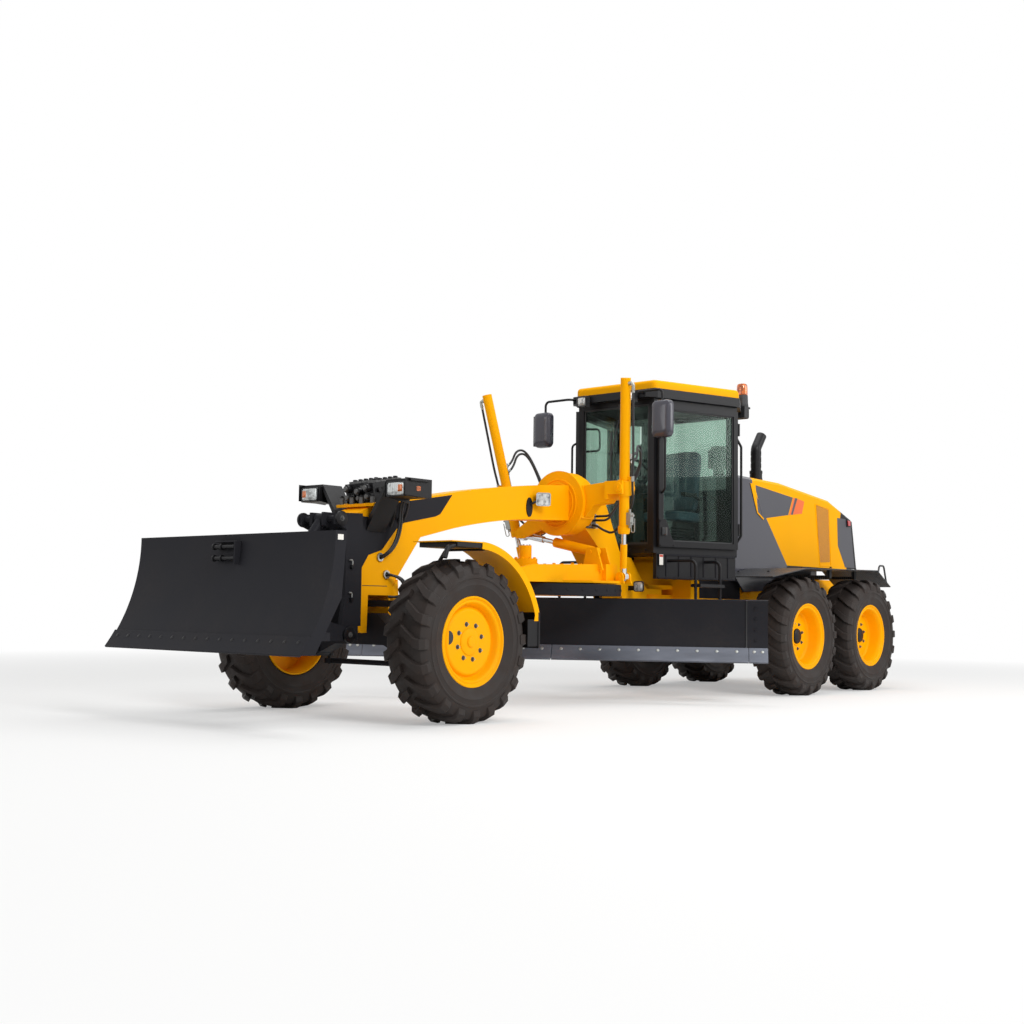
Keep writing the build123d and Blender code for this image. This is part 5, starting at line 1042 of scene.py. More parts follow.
def lift_details():
    """Glands, collars, pipes, load holding valves, supply hoses and rod eyes of the lift cylinders."""
    for side, hand in SIDES:
        pivot, down, out, back = barrel_frame(side)
        body = f"lift_barrel_{hand}"
        form = Form(f"lift_gland_{hand}")
        form.lathe(((0.385, 0.050), (0.385, 0.0585), (0.388, 0.060), (0.442, 0.060), (0.446, 0.056),
                    (0.456, 0.054), (0.456, 0.034), (0.446, 0.0262), (0.430, 0.0262), (0.430, 0.049)),
                   pivot, down, "yellow_enamel", 40)
        form.lathe(((-0.075, 0.050), (-0.075, 0.066), (-0.068, 0.070), (0.068, 0.070), (0.075, 0.066),
                    (0.075, 0.050)), pivot, down, "yellow_enamel", 36)
        form.done(body, "yellow_paint")
        pipe = Form(f"lift_pipe_{hand}")
        top, low = pivot - down * 1.030, pivot + down * 0.350
        tee = pivot - down * 0.300
        pipe.rod(top + out * 0.040, top + out * 0.068, 0.022, "zinc", 20)
        pipe.pipe(rounded((top + out * 0.060, top + out * 0.096, top + out * 0.096 + down * 0.045), 0.022),
                  0.015, "zinc", 16)
        fitting(pipe, top + out * 0.096 + down * 0.040, down, 0.022)
        pipe.pipe(rounded((low + back * 0.046, low + back * 0.080, tee + back * 0.080), 0.03), 0.009,
                  "black_enamel", 12)
        pipe.rod(low + back * 0.040, low + back * 0.062, 0.019, "yellow_enamel", 16)
        for s in (-0.22, 0.10):
            centre = pivot + down * s
            pipe.box(centre + back * 0.068, (0.026, 0.036, 0.024), "black_enamel",
                     Matrix((back.cross(down), back, down)).transposed())
        pipe.rod(tee + back * 0.080 + down * 0.02, tee + back * 0.080 - down * 0.03, 0.016, "zinc", 16)
        fitting(pipe, tee + back * 0.080, back - down * 0.3, 0.022)
        fitting(pipe, tee + down * 0.060 + back * 0.080, back - down * 0.3, 0.022)
        # load holding valve near the gland
        block = pivot + down * 0.300 + out * 0.074
        square = Matrix((out.cross(down), out, down)).transposed()
        pipe.box(block, (0.048, 0.052, 0.120), "zinc", square)
        for s, reach in ((-0.036, 0.050), (0.034, 0.040)):
            pipe.rod(block + down * s, block + down * s + out * reach, 0.014, "zinc", 6)
        pipe.rod(block - down * 0.095, block + down * 0.090, 0.012, "zinc", 12)
        pipe.pipe(rounded((block + down * 0.060 + out * 0.020, block + down * 0.130 + out * 0.020,
                           block + down * 0.130 + out * 0.062, block - down * 0.010 + out * 0.062), 0.02),
                  0.005, "zinc", 8)
        union = hose_union(pivot, down, out)
        pipe.box(union - out * 0.045, (0.03, 0.07, 0.03), "yellow_enamel", square)
        pipe.rod(union - down * 0.025, union + down * 0.025, 0.018, "zinc", 6)
        pipe.done(body, "black_paint")
        hose(f"lift_supply_{hand}", [top + out * 0.096 + down * 0.08, top + out * 0.098 + down * 0.16,
                                     top + out * 0.104 + down * 0.50, pivot - down * 0.30 + out * 0.110,
                                     union - down * 0.06, union], body, WORK_HOSE)
        ring = Form(f"lift_eye_{hand}")
        ring.lathe(((0.560, 0.0), (0.560, 0.030), (0.566, 0.0345), (0.800, 0.0345), (0.812, 0.030),
                    (0.812, 0.0)), pivot, down, "yellow_enamel", 28)
        for edge in (-1, 1):
            ring.lathe(((-0.0015, 0.0365), (-0.0015, 0.047), (0.0025, 0.047), (0.0025, 0.0365)),
                       lift_eye(side) + X * edge * 0.0305, X * edge, "yellow_enamel", 28)
        ring.done(f"lift_rod_{hand}", "yellow_paint")


def work_hoses():
    """Hoses that hang between the frame's leg and the lift cylinders, and the ports on the leg."""
    for side, hand in SIDES:
        pivot, down, out, back = barrel_frame(side)
        leave = (back - down * 0.3).normalized()
        tee = pivot - down * 0.300 + back * 0.080 + leave * 0.045
        union = hose_union(pivot, down, out) + down * 0.02
        high_port = at(-2.950, side * 0.193, 1.870)
        low_port = at(-2.880, side * 0.193, 1.780)
        rise = 0.03 if side > 0 else 0.09

        def arched(start, port, lift):
            return (start, start + leave * 0.07, start + Vector((-0.10, -side * 0.02, lift)),
                    start + Vector((-0.22, -side * 0.06, lift)), start + Vector((-0.33, -side * 0.14, -0.08)),
                    port + Vector((-0.10, side * 0.24, 0.12)), port + Vector((-0.04, side * 0.20, 0.0)),
                    port + Y * side * 0.09, port + Y * side * 0.012)

        routes = {
            "high": arched(tee, high_port, rise + 0.08),
            "mid": arched(tee + down * 0.060, high_port + Vector((0.035, 0, -0.045)), rise + 0.10),
            "low": (union, union + down * 0.08, union + down * 0.20 + Vector((-0.05, -side * 0.02, 0)),
                    union + down * 0.30 + Vector((-0.10, -side * 0.12, -0.03)),
                    low_port + Vector((-0.04, side * 0.30, -0.10)),
                    low_port + Vector((-0.02, side * 0.18, -0.06)),
                    low_port + Y * side * 0.09, low_port + Y * side * 0.012)}
        for name, route in routes.items():
            bending_hose(f"lift_hose_{name}_{hand}", route, WORK_HOSE)
        boss = Form(f"leg_ports_{hand}")
        boss.box(at(-2.915, side * 0.196, 1.822), (0.150, 0.020, 0.150), "cast_iron")
        for port in (high_port, low_port):
            fitting(boss, port - Y * side * 0.004, Y * side, 0.024)
        for x, z in ((-2.955, 1.770), (-2.880, 1.870)):
            boss.rod(at(x, side * 0.200, z), at(x, side * 0.245, z), 0.019, "zinc", 16)
            boss.bolt(at(x, side * 0.244, z), Y * side, 0.026)
        boss.done("front_chassis", "chrome")


def nose_hoses():
    """Hoses from the ports of the nose, up to the lamps' bracket and back into the frame."""
    for side, hand in SIDES:
        for row in range(2):
            shift = 0.026 * row
            upper = at(-0.007 - 0.010 * row, side * 0.158, 1.350 - 0.012 * row)
            lower = at(-0.083 - 0.008 * row, side * 0.158, 1.204 - 0.012 * row)
            for name, port, route in (
                    ("lamp_hose", upper, ((-0.015, 0.215, 1.365), (-0.095, 0.235, 1.455),
                                          (-0.150, 0.235, 1.600), (-0.150, 0.240, 1.760),
                                          (-0.115, 0.300, 1.850), (-0.090, 0.400, 1.862))),
                    ("nose_hose", lower, ((-0.105, 0.215, 1.195), (-0.200, 0.240, 1.150),
                                          (-0.235, 0.235, 1.060), (-0.190, 0.200, 1.000),
                                          (-0.120, 0.146, 1.010)))):
                hose(f"{name}_{hand}_{row + 1}",
                     [port] + [at(x - shift, side * y, z) for x, y, z in route], "front_chassis")


def beam_lamps():
    """Work lamps on the gooseneck and low on the leg, with their brackets."""
    form = Form("beam_lamp_housings")
    glass = Form("beam_lamp_lenses")
    for side in (1, -1):
        work_lamp(form, glass, at(-2.100, side * 0.235, 1.985), (0.6, side * 0.8, -0.1), 0.145, 0.130)
        form.slab([at(-1.990 + 0.045 * cos(tau * k / 20), side * 0.1500, 1.905 + 0.095 * sin(tau * k / 20))
                   for k in range(20)], Y * side, 0.010, "black_enamel")
        form.pipe(rounded((at(-1.995, side * 0.152, 1.930), at(-2.020, side * 0.190, 1.950),
                           at(-2.080, side * 0.205, 1.982)), 0.02), 0.012, "black_enamel", 12)
        work_lamp(form, glass, at(-3.542, side * 0.360, 1.168), (1, side * 0.35, -0.1), 0.110, 0.110,
                  "cab_plastic")
        form.box(at(-3.600, side * 0.270, 1.150), (0.030, 0.190, 0.050), "black_enamel")
    form.done("front_chassis", "dark_plastic")
    glass.done("front_chassis", "glass")


def axle_details():
    """Bolts round the front axle's pins, and the keepers of the lean pins."""
    form = Form("axle_fittings")
    for side in (1, -1):
        form.bolt_ring(4, 0.048, at(0.075, side * 0.56, 0.560), X, 0.018, "black_enamel", pi / 4)
    form.bolt_ring(6, 0.028, at(0.265, 0, 0.782), X, 0.014)
    form.done("front_chassis", "yellow_paint")
    for side, hand in SIDES:
        keeper = Form(f"lean_keepers_{hand}")
        for x in (0.1025, -0.1025):
            way = 1 if x > 0 else -1
            for z, r in ((0.560, 0.040), (0.950, 0.030)):
                keeper.lathe(((-0.004, 0.0), (-0.004, r), (0.010, r), (0.013, r - 0.005), (0.013, 0.0)),
                             at(x, side * 0.56, z), X * way, "zinc", 24)
                keeper.bolt(at(x + way * 0.012, side * 0.56, z), X * way, 0.018)
        keeper.done("lean_" + hand, "bare_steel")


WHEEL_Z = 0.652          # height of the wheels' middle


def fender_details():
    """Front mudguards: the lip along the outer edge, the rubber flap, the black band and tube in front."""
    for side, hand in SIDES:
        lip = Form(f"fender_lip_{hand}")
        arch = [(cos(radians(93.0 + 70.0 * k / 28)), sin(radians(93.0 + 70.0 * k / 28))) for k in range(29)]
        outline = [(0.8035 * c, WHEEL_Z + 0.8035 * s) for c, s in arch]
        outline += [(-0.7600, 0.819), (-0.7000, 0.819)]
        outline += [(0.744 * c, WHEEL_Z + 0.744 * s) for c, s in arch[::-1]]
        lip.slab(on_side(side, 1.3000, outline), Y * side, 0.0045, "yellow_enamel")
        lip.box(at(0.130, side * 1.0875, 1.4475), (0.372, 0.436, 0.008), "yellow_enamel")
        lip.done("knuckle_" + hand, "yellow_paint", bevel=0.0015)
        form = Form(f"fender_flap_{hand}")
        form.box(at(-0.763, side * 1.0875, 0.742), (0.022, 0.440, 0.300), "black_enamel")
        form.box(at(-0.690, side * 1.2980, 0.720), (0.140, 0.006, 0.225), "black_enamel")
        form.box(at(0.100, side * 1.0875, 1.424), (0.300, 0.420, 0.040), "black_enamel")
        tube = rounded(on_side(side, 1.268, (
            (0.361, 1.310), (0.329, 1.400), (0.253, 1.418), (-0.060, 1.422))), 0.06)
        form.pipe(tube, 0.020, "black_enamel", 16)
        form.done("knuckle_" + hand, "black_paint", bevel=0.003)


# ---- cab ----
WALL_RUN = Vector((-1.100, 0.340, 0)).normalized()     # back along the left side wall


def wall_along(side):
    """Back along a cab side wall."""
    return Vector((WALL_RUN.x, side * WALL_RUN.y, 0))


def wall_out(side):
    """Square out of a cab side wall."""
    return Vector((WALL_RUN.y, -side * WALL_RUN.x, 0))


def on_wall(side, run, out, z):
    """Point on a cab side wall: run back from the front post, out from its face."""
    return at(-3.600, side * 0.500, z) + wall_along(side) * run + wall_out(side) * out


def wall_turn(side):
    """Rotation with X back along the wall, Y out of it and Z up."""
    return Matrix((wall_along(side), wall_out(side), Z)).transposed()


def cab_details():
    """Window seals, drip rails, grab handles, wiper and the trim under the windscreen."""
    seals = Form("cab_seals")
    for y0, y1, z0, z1 in ((-0.43, 0.43, 1.608, 1.634), (-0.43, 0.43, 3.075, 3.091),
                           (-0.434, -0.412, 1.62, 3.075), (0.412, 0.434, 1.62, 3.075)):
        seals.box(at(-3.620, (y0 + y1) / 2, (z0 + z1) / 2), (0.014, y1 - y0, z1 - z0), "hose_rubber")
    for side in (1, -1):
        for run in (0.100, 1.060):
            seals.box(on_wall(side, run, 0.026, 2.34), (0.018, 0.016, 1.38), "hose_rubber", wall_turn(side))
        for z in (1.650, 3.030):
            seals.box(on_wall(side, 0.58, 0.026, z), (0.96, 0.016, 0.018), "hose_rubber", wall_turn(side))
    seals.box(at(-3.595, 0, 1.60), (0.012, 0.80, 0.010), "black_enamel")
    seals.done("chassis", "dark_plastic", bevel=0.001)
    trim = Form("cab_trim")
    for side in (1, -1):
        # drip rail above the door
        trim.box(on_wall(side, 0.56, 0.040, 3.158), (1.10, 0.012, 0.014), "black_enamel", wall_turn(side))
        # D-shaped grab handle inside the front corner
        loop = rounded(on_side(side, 0.44, (
            (-3.660, 2.896), (-3.900, 2.924), (-3.910, 2.682), (-3.675, 2.650))), 0.06)
        trim.pipe(loop, 0.012, "black_enamel", 12)
    # wiper: motor box, arm and blade on the windscreen
    trim.box(at(-3.606, 0.10, 3.095), (0.05, 0.10, 0.05), "cab_plastic")
    trim.pipe(rounded((at(-3.585, 0.10, 3.08), at(-3.578, 0.06, 2.95), at(-3.590, -0.06, 2.52)), 0.05), 0.006,
              "cab_plastic", 8)
    trim.box(at(-3.606, -0.06, 2.52), (0.012, 0.016, 0.62), "hose_rubber")
    trim.box(at(-3.604, 0.02, 1.585), (0.016, 0.92, 0.030), "black_enamel")
    for y in (-0.40, -0.2, 0.0, 0.2, 0.40):
        trim.bolt(at(-3.5985, y, 1.552), X, 0.020, "black_enamel")
    trim.done("chassis", "black_paint", bevel=0.001)


def door_details():
    """Handle plate, lever and grab bar of each cab door."""
    out = 0.046
    for side, hand in SIDES:
        form = Form(f"door_trim_{hand}")
        plate = ((0.040, 1.585), (0.26, 1.585), (0.19, 1.72), (0.13, 1.87), (0.040, 1.87))
        form.slab([on_wall(side, run, out - 0.001, z) for run, z in plate], wall_out(side), 0.006,
                  "black_enamel")
        form.box(on_wall(side, 0.105, out + 0.008, 1.745), (0.070, 0.012, 0.085), "cab_plastic",
                 wall_turn(side))
        form.pipe(rounded((on_wall(side, 0.10, out + 0.012, 1.71), on_wall(side, 0.10, out + 0.045, 1.71),
                           on_wall(side, 0.10, out + 0.045, 1.785)), 0.02), 0.008, "cast_iron", 12)
        form.pipe(rounded((on_wall(side, 0.070, out, 2.15), on_wall(side, 0.070, out + 0.055, 2.18),
                           on_wall(side, 0.070, out + 0.055, 2.72), on_wall(side, 0.070, out, 2.75)), 0.03),
                  0.012, "black_enamel", 14)
        for run, z in ((0.055, 1.60), (0.055, 1.855), (0.23, 1.60)):
            form.bolt(on_wall(side, run, out + 0.004, z), wall_out(side), 0.013, "black_enamel")
        form.done(f"door_{hand}", "black_paint", bevel=0.001)


def cushion_seam(p):
    """How far the seams sink the cushion's top, and its front and back edges roll down."""
    return -0.10 * max(0, 1 - abs(abs(p.y) - 0.62) * 14) - 0.05 * abs(p.x) ** 6


def back_seam(p):
    """How far the seams sink the front of the seat's back."""
    return -0.12 * max(0, 1 - abs(abs(p.y) - 0.6) * 14)


def seat_pad(node, tilt, size, axis, seam):
    """Crowned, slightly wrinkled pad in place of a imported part, its seams sunk into one face."""
    mesh = bmesh.new()
    bmesh.ops.create_cube(mesh, size=1)
    bmesh.ops.subdivide_edges(mesh, edges=mesh.edges, cuts=15, use_grid_fill=True)
    for vertex in mesh.verts:
        p = vertex.co * 2
        q = Vector([c * (1 - sum(p[j] ** 8 for j in range(3) if j != i) * 0.055) for i, c in enumerate(p)])
        rough = noise.noise(p * 2.6) * 0.03 + noise.noise(p * 7.0) * 0.012
        q += q.normalized() * (rough - 0.03)
        if p[axis] > 0.9:
            q[axis] += seam(p)
        vertex.co = Vector([q[i] * size[i] / 2 for i in range(3)])
    mesh.transform(Matrix.Rotation(tilt, 4, "Y"))
    data = bpy.data.meshes.new(node + "_pad")
    mesh.to_mesh(data)
    mesh.free()
    data.transform(Matrix.Translation(middle(node)))
    for face in data.polygons:
        face.use_smooth = True
    data.materials.append(bpy.data.materials["seat_vinyl"])
    piece = place_piece(node + "_pad", data, "chassis")
    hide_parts(node)


def seat_parts():
    """Padded seat under its transit cover, its arms and the gaiter of its spring."""
    seat_pad("seat_cushion", 0.0, (0.48, 0.50, 0.115), 2, cushion_seam)
    seat_pad("seat_back", -0.13, (0.105, 0.48, 0.700), 0, back_seam)
    form = Form("seat_frame")
    for side in (1, -1):
        form.pipe(rounded((at(-4.88, side * 0.275, 2.16), at(-4.70, side * 0.285, 2.20),
                           at(-4.50, side * 0.285, 2.20)), 0.03), 0.018, "cab_plastic", 12)
        form.box(at(-4.60, side * 0.285, 2.212), (0.24, 0.055, 0.035), "cab_plastic")
        form.box(at(-4.885, side * 0.263, 2.10), (0.05, 0.02, 0.18), "black_enamel")
    for k in range(5):
        z = 1.70 + 0.032 * k
        form.skin([[at(-4.69 + x * grow, y * grow, z + lift) for x, y in rounded_rectangle(0.36, 0.36, 0.03)]
                   for lift, grow in ((0.0, 1.0), (0.008, 1.06), (0.016, 1.06), (0.024, 1.0))], "hose_rubber")
    form.done("chassis", "dark_plastic", bevel=0.002)


def console_details():
    """Rim and hub of the steering wheel, the banks of levers and the pedals."""
    form = Form("console_parts")
    hub = at(-3.930, 0, 2.440)
    tilt = Vector((-0.6, 0, 0.8))
    turn = aim(tilt)
    centre = hub + tilt * 0.011
    rings = []
    for k in range(48):
        ray = turn @ Vector((cos(tau * k / 48), sin(tau * k / 48), 0))
        rings.append([centre + ray * 0.186 + 0.0165 * (cos(tau * j / 12) * ray + sin(tau * j / 12) * tilt)
                      for j in range(12)])
    form.skin(rings, "cab_plastic", loop=True)
    form.lathe(((0.010, 0.0), (0.010, 0.055), (0.034, 0.050), (0.040, 0.038), (0.040, 0.0)), hub, tilt,
               "cab_plastic", 32)
    for side in (1, -1):
        for k in range(5):
            base = at(-3.97 - 0.012 * k, side * (0.150 + 0.034 * k), 2.262 + 0.004 * k)
            top = base + Vector((-0.035, side * 0.012, 0.135))
            form.rod(base, top, 0.005, "hard_chrome", 8)
            form.lathe(((-0.004, 0.0), (-0.004, 0.011), (0.012, 0.0165), (0.036, 0.0165),
                        (0.046, 0.010), (0.046, 0.0)), top, top - base, "cab_plastic", 16)
        form.box(at(-3.985, side * 0.218, 2.232), (0.12, 0.20, 0.06), "cab_plastic")
        form.box(at(-3.905, side * 0.150, 2.20), (0.10, 0.10, 0.05), "cab_plastic")
        form.box(at(-3.90, side * 0.20, 1.63), (0.16, 0.08, 0.010), "black_enamel",
                 Matrix.Rotation(-0.5, 3, "Y"))
        form.rod(at(-3.88, side * 0.20, 1.585), at(-3.90, side * 0.20, 1.63), 0.010, "black_enamel")
    form.done("chassis", "dark_plastic", bevel=0.002)


def roof_details():
    """Lenses of the roof lamps, the beacon and its base, and screws of the roof."""
    lenses = Form("roof_lenses")
    frames = Form("roof_lamp_frames")
    for side in (1, -1):
        for x, y, z, way, width, outer in ((-3.410, 0.315, 3.160, 1, 0.105, 0.130),
                                           (-5.180, 0.620, 3.155, -1, 0.130, 0.160)):
            centre = at(x, side * y, z)
            lenses.skin(grown(centre, rounded_rectangle(width, 0.088, 0.018),
                              ((-0.004, 1.0), (0.006, 1.0), (0.010, 0.9), (0.013, 0.5)), way), "lamp_lens")
            shape = rounded_rectangle(outer, 0.118, 0.02)
            inner = rounded_rectangle(outer - 0.026, 0.088, 0.018)
            frames.skin([[centre + Vector((way * d, u, v)) for u, v in ring] for d, ring in
                         ((-0.010, shape), (0.012, shape), (0.012, inner), (-0.010, inner))], "cab_plastic",
                        loop=True)
        for x in (-3.75, -4.10, -4.45, -4.85):
            frames.bolt(at(x, side * (0.40 if x > -3.9 else 0.55), 3.3445), Z, 0.022, "yellow_enamel")
    lenses.done("chassis", "glass")
    frames.done("chassis", "dark_plastic")
    beacon = Form("beacon_lens")
    centre = at(-5.160, 0.630, 3.285)
    beacon.lathe(((0.074, 0.0), (0.074, 0.060), (0.086, 0.0625), (0.120, 0.0625), (0.160, 0.0615),
                  (0.190, 0.0590), (0.206, 0.052), (0.214, 0.036), (0.216, 0.0)), centre, Z, "amber_lens", 40)
    beacon.done("chassis", "glass")
    base = Form("beacon_base")
    base.lathe(((-0.062, 0.030), (-0.062, 0.068), (-0.052, 0.072), (-0.010, 0.066), (0.060, 0.064),
                (0.080, 0.062), (0.080, 0.030)), centre, Z, "cab_plastic", 40)
    base.bolt_ring(3, 0.062, centre - Z * 0.052, Z, 0.012)
    base.done("chassis", "dark_plastic")


def mirror_details():
    """Rounded mirror heads with glass behind, and the clamps on their arms."""
    form = Form("mirror_shells")
    glass = Form("mirror_faces")
    for side, y in ((1, 0.790), (-1, 0.780)):
        centre = at(-3.328, side * y, 2.875)
        shape = rounded_rectangle(0.232, 0.385, 0.060, 6)
        rings = [[centre + Vector((d, u * g, v * (1 - (1 - g) * 0.6))) for u, v in shape]
                 for d, g in ((-0.036, 0.97), (-0.034, 1.0), (0.010, 1.0), (0.032, 0.94), (0.048, 0.78),
                              (0.055, 0.45))]
        form.skin(rings, "cowl_enamel")
        inner = rounded_rectangle(0.206, 0.358, 0.050, 6)
        glass.skin(grown(centre, inner, ((-0.034, 1.0), (-0.0385, 0.995), (-0.0395, 0.96))), "mirror_glass")
        for z in (2.78, 2.95):
            form.lathe(((-0.016, 0.0), (-0.016, 0.021), (0.016, 0.021), (0.016, 0.0)),
                       at(-3.370, side * (y - 0.015), z), Z, "cab_plastic", 20)
        form.box(at(-3.35, side * (y - 0.015), 2.865), (0.04, 0.05, 0.22), "cab_plastic")
    form.done("chassis", "dark_plastic")
    glass.done("chassis", "glass")


# ---- hood and rear ----
HOOD_SIDE = 0.4552       # just outside the hood's flat side


def hood_details():
    """Films, perforated strips and frames of the hood, the tail lamps and the liners of the arches."""
    skin = Form("hood_films")
    perforated = Form("hood_perforated_strips")
    panels = (
        (((-5.730, 2.400), (-6.640, 2.314), (-6.525, 2.093), (-5.929, 2.017)), "charcoal_film"),
        (((-6.655, 2.313), (-6.697, 2.314), (-6.594, 2.102), (-6.545, 2.095)), "stripe_film"),
        (((-6.697, 2.314), (-6.755, 2.310), (-6.639, 2.105), (-6.594, 2.102)), "charcoal_film"),
        (((-6.755, 2.310), (-6.929, 2.284), (-6.870, 2.131), (-6.639, 2.105)), "stripe_film"),
        (((-7.800, 2.135), (-7.815, 1.776), (-8.015, 1.503), (-8.276, 1.505), (-8.164, 2.126)),
         "charcoal_film"))
    holes = ((-7.236, 2.262), (-7.555, 2.222), (-7.593, 1.559), (-7.326, 1.545))
    for side in (1, -1):
        for outline, finish in panels:
            skin.slab(on_side(side, HOOD_SIDE, outline), Y * side, 0.0012, finish)
        perforated.slab(on_side(side, HOOD_SIDE, holes), Y * side, 0.004, "perforated_sheet")
    skin.done("chassis", "yellow_paint")
    perforated.done("chassis", "yellow_paint", bevel=0.001)
    form = Form("hood_fittings")
    band = ((-5.626, 2.413), (-5.782, 2.074), (-5.923, 2.000), (-5.935, 2.016), (-5.800, 2.085),
            (-5.740, 2.402))
    rail = ((-7.205, 2.272), (-7.571, 2.234), (-7.619, 1.514), (-7.333, 1.501))
    for side in (1, -1):
        form.slab(on_side(side, 0.4590, band), Y * side, 0.004, "yellow_enamel")
        corners = on_side(side, 0.456, rail)
        for start, end in zip(corners, corners[1:] + corners[:1]):
            form.rod(start, end, 0.006, "yellow_enamel", 8)
    form.done("chassis", "yellow_paint", bevel=0.001)
    lamps = Form("tail_lamps")
    frames = Form("tail_lamp_frames")
    for side in (1, -1):
        lamp = ((-8.061, 2.116), (-8.135, 2.113), (-8.134, 2.047), (-8.072, 2.044))
        surround = ((-8.048, 2.129), (-8.150, 2.126), (-8.149, 2.034), (-8.058, 2.031))
        lamps.slab(on_side(side, 0.4560, lamp), Y * side, 0.022, "red_lens")
        frames.slab(on_side(side, 0.4562, surround), Y * side, 0.010, "black_enamel")
    lamps.done("chassis", "glass", bevel=0.004)
    frames.done("chassis", "black_paint", bevel=0.002)
    liner = Form("arch_liners")
    arch = ((-5.560, 1.230), (-7.100, 1.230), (-7.100, 1.505), (-5.560, 1.505))
    cover = ((-4.650, 1.060), (-5.500, 1.060), (-5.500, 1.360), (-4.650, 1.360))
    for side in (1, -1):
        liner.slab(on_side(side, 0.4400, arch), Y * side, 0.012, "black_enamel")
        liner.slab(on_side(side, 0.3925, cover), Y * side, 0.006, "charcoal_enamel")
    liner.done("chassis", "charcoal_paint", bevel=0.001)


def stack_details():
    """Clamps and heat guard of the exhaust, and the fins, bands and clamp of the air cleaner."""
    form = Form("exhaust_fittings")
    foot = at(-6.200, 0.200, 2.49)
    for z in (0.02, 0.11):
        form.lathe(((z - 0.014, 0.074), (z - 0.014, 0.079), (z + 0.014, 0.079), (z + 0.014, 0.074)), foot, Z,
                   "black_enamel", 40)
        form.box(foot + Vector((0.088, 0, z)), (0.03, 0.02, 0.028), "black_enamel")
    for k in range(16):
        a = tau * k / 16
        for row in range(3):
            place = foot + Vector((0.0625 * cos(a), 0.0625 * sin(a), 0.19 + 0.075 * row))
            form.box(place, (0.003, 0.010, 0.050), "black_enamel", Matrix.Rotation(a, 3, "Z"))
    form.done("chassis", "charcoal_paint")
    cleaner = Form("cleaner_fittings")
    base = at(-5.870, -0.120, 0)
    for k in range(24):
        a = tau * k / 24
        place = base + Vector((0.1235 * cos(a), 0.1235 * sin(a), 2.745))
        cleaner.box(place, (0.008, 0.006, 0.15), "cab_plastic", Matrix.Rotation(a, 3, "Z"))
    for band in (((2.652, 0.122), (2.652, 0.131), (2.672, 0.131), (2.672, 0.122)),
                 ((2.828, 0.122), (2.828, 0.131), (2.848, 0.131), (2.852, 0.122))):
        cleaner.lathe(band, base, Z, "cab_plastic", 48)
    cleaner.lathe(((2.44, 0.069), (2.44, 0.075), (2.475, 0.075), (2.475, 0.069)), base, Z, "black_enamel", 40)
    cleaner.box(base + Vector((0.086, 0, 2.4575)), (0.03, 0.016, 0.024), "black_enamel")
    cleaner.done("chassis", "dark_plastic")


def side_details():
    """Ribs, rails and labels of the side boxes, and the grips of the ladders' treads."""
    form = Form("box_trim")
    labels = Form("box_labels")
    for side in (1, -1):
        along = Vector((-1.04, side * 0.322, 0)).normalized()
        out = Vector((along.y * side, -along.x * side, 0))
        turn = Matrix((along, out, Z)).transposed()
        origin = at(-3.640, side * 0.512, 0)

        def spot(run, lift, z):
            return origin + along * run + out * lift + Z * z

        for run in (0.13, 0.30, 0.47, 0.64, 0.81, 0.98):
            form.box(spot(run, 0.002, 1.385), (0.016, 0.010, 0.215), "charcoal_enamel", turn)
        form.box(spot(0.545, 0.005, 1.503), (1.06, 0.014, 0.018), "charcoal_enamel", turn)
        form.box(spot(0.545, 0.005, 1.262), (1.06, 0.014, 0.018), "charcoal_enamel", turn)
        for lift, thick, finish, (run0, run1), (z0, z1) in (
                (0.0142, 0.0012, "white_film", (0.028, 0.078), (1.395, 1.505)),
                (0.0154, 0.0008, "red_film", (0.031, 0.075), (1.478, 1.502))):
            labels.slab([spot(run, lift, z) for run, z in ((run0, z0), (run1, z0), (run1, z1), (run0, z1))],
                        out, thick, finish)
        labels.box(spot(0.053, 0.006, 1.450), (0.062, 0.018, 0.122), "black_enamel", turn)
    form.done("chassis", "charcoal_paint", bevel=0.002)
    labels.done("chassis", "charcoal_paint")
    tread = Form("step_treads")
    for side in (1, -1):
        for z in (1.180, 0.900, 0.650):
            for k in range(12):
                x = -3.820 - 0.037 * k
                tread.box(at(x, side * 0.900, z + 0.0165), (0.010, 0.108, 0.008), "black_enamel")
            for y in (0.848, 0.900, 0.952):
                tread.box(at(-4.025, side * y, z + 0.0155), (0.45, 0.006, 0.006), "black_enamel")
        for x in (-3.790, -4.260):
            tread.lathe(((-0.004, 0.0), (-0.004, 0.020), (0.006, 0.020), (0.006, 0.0)),
                        at(x, side * 0.900, 0.640), -Z, "hose_rubber", 20)
    tread.done("chassis", "charcoal_paint")


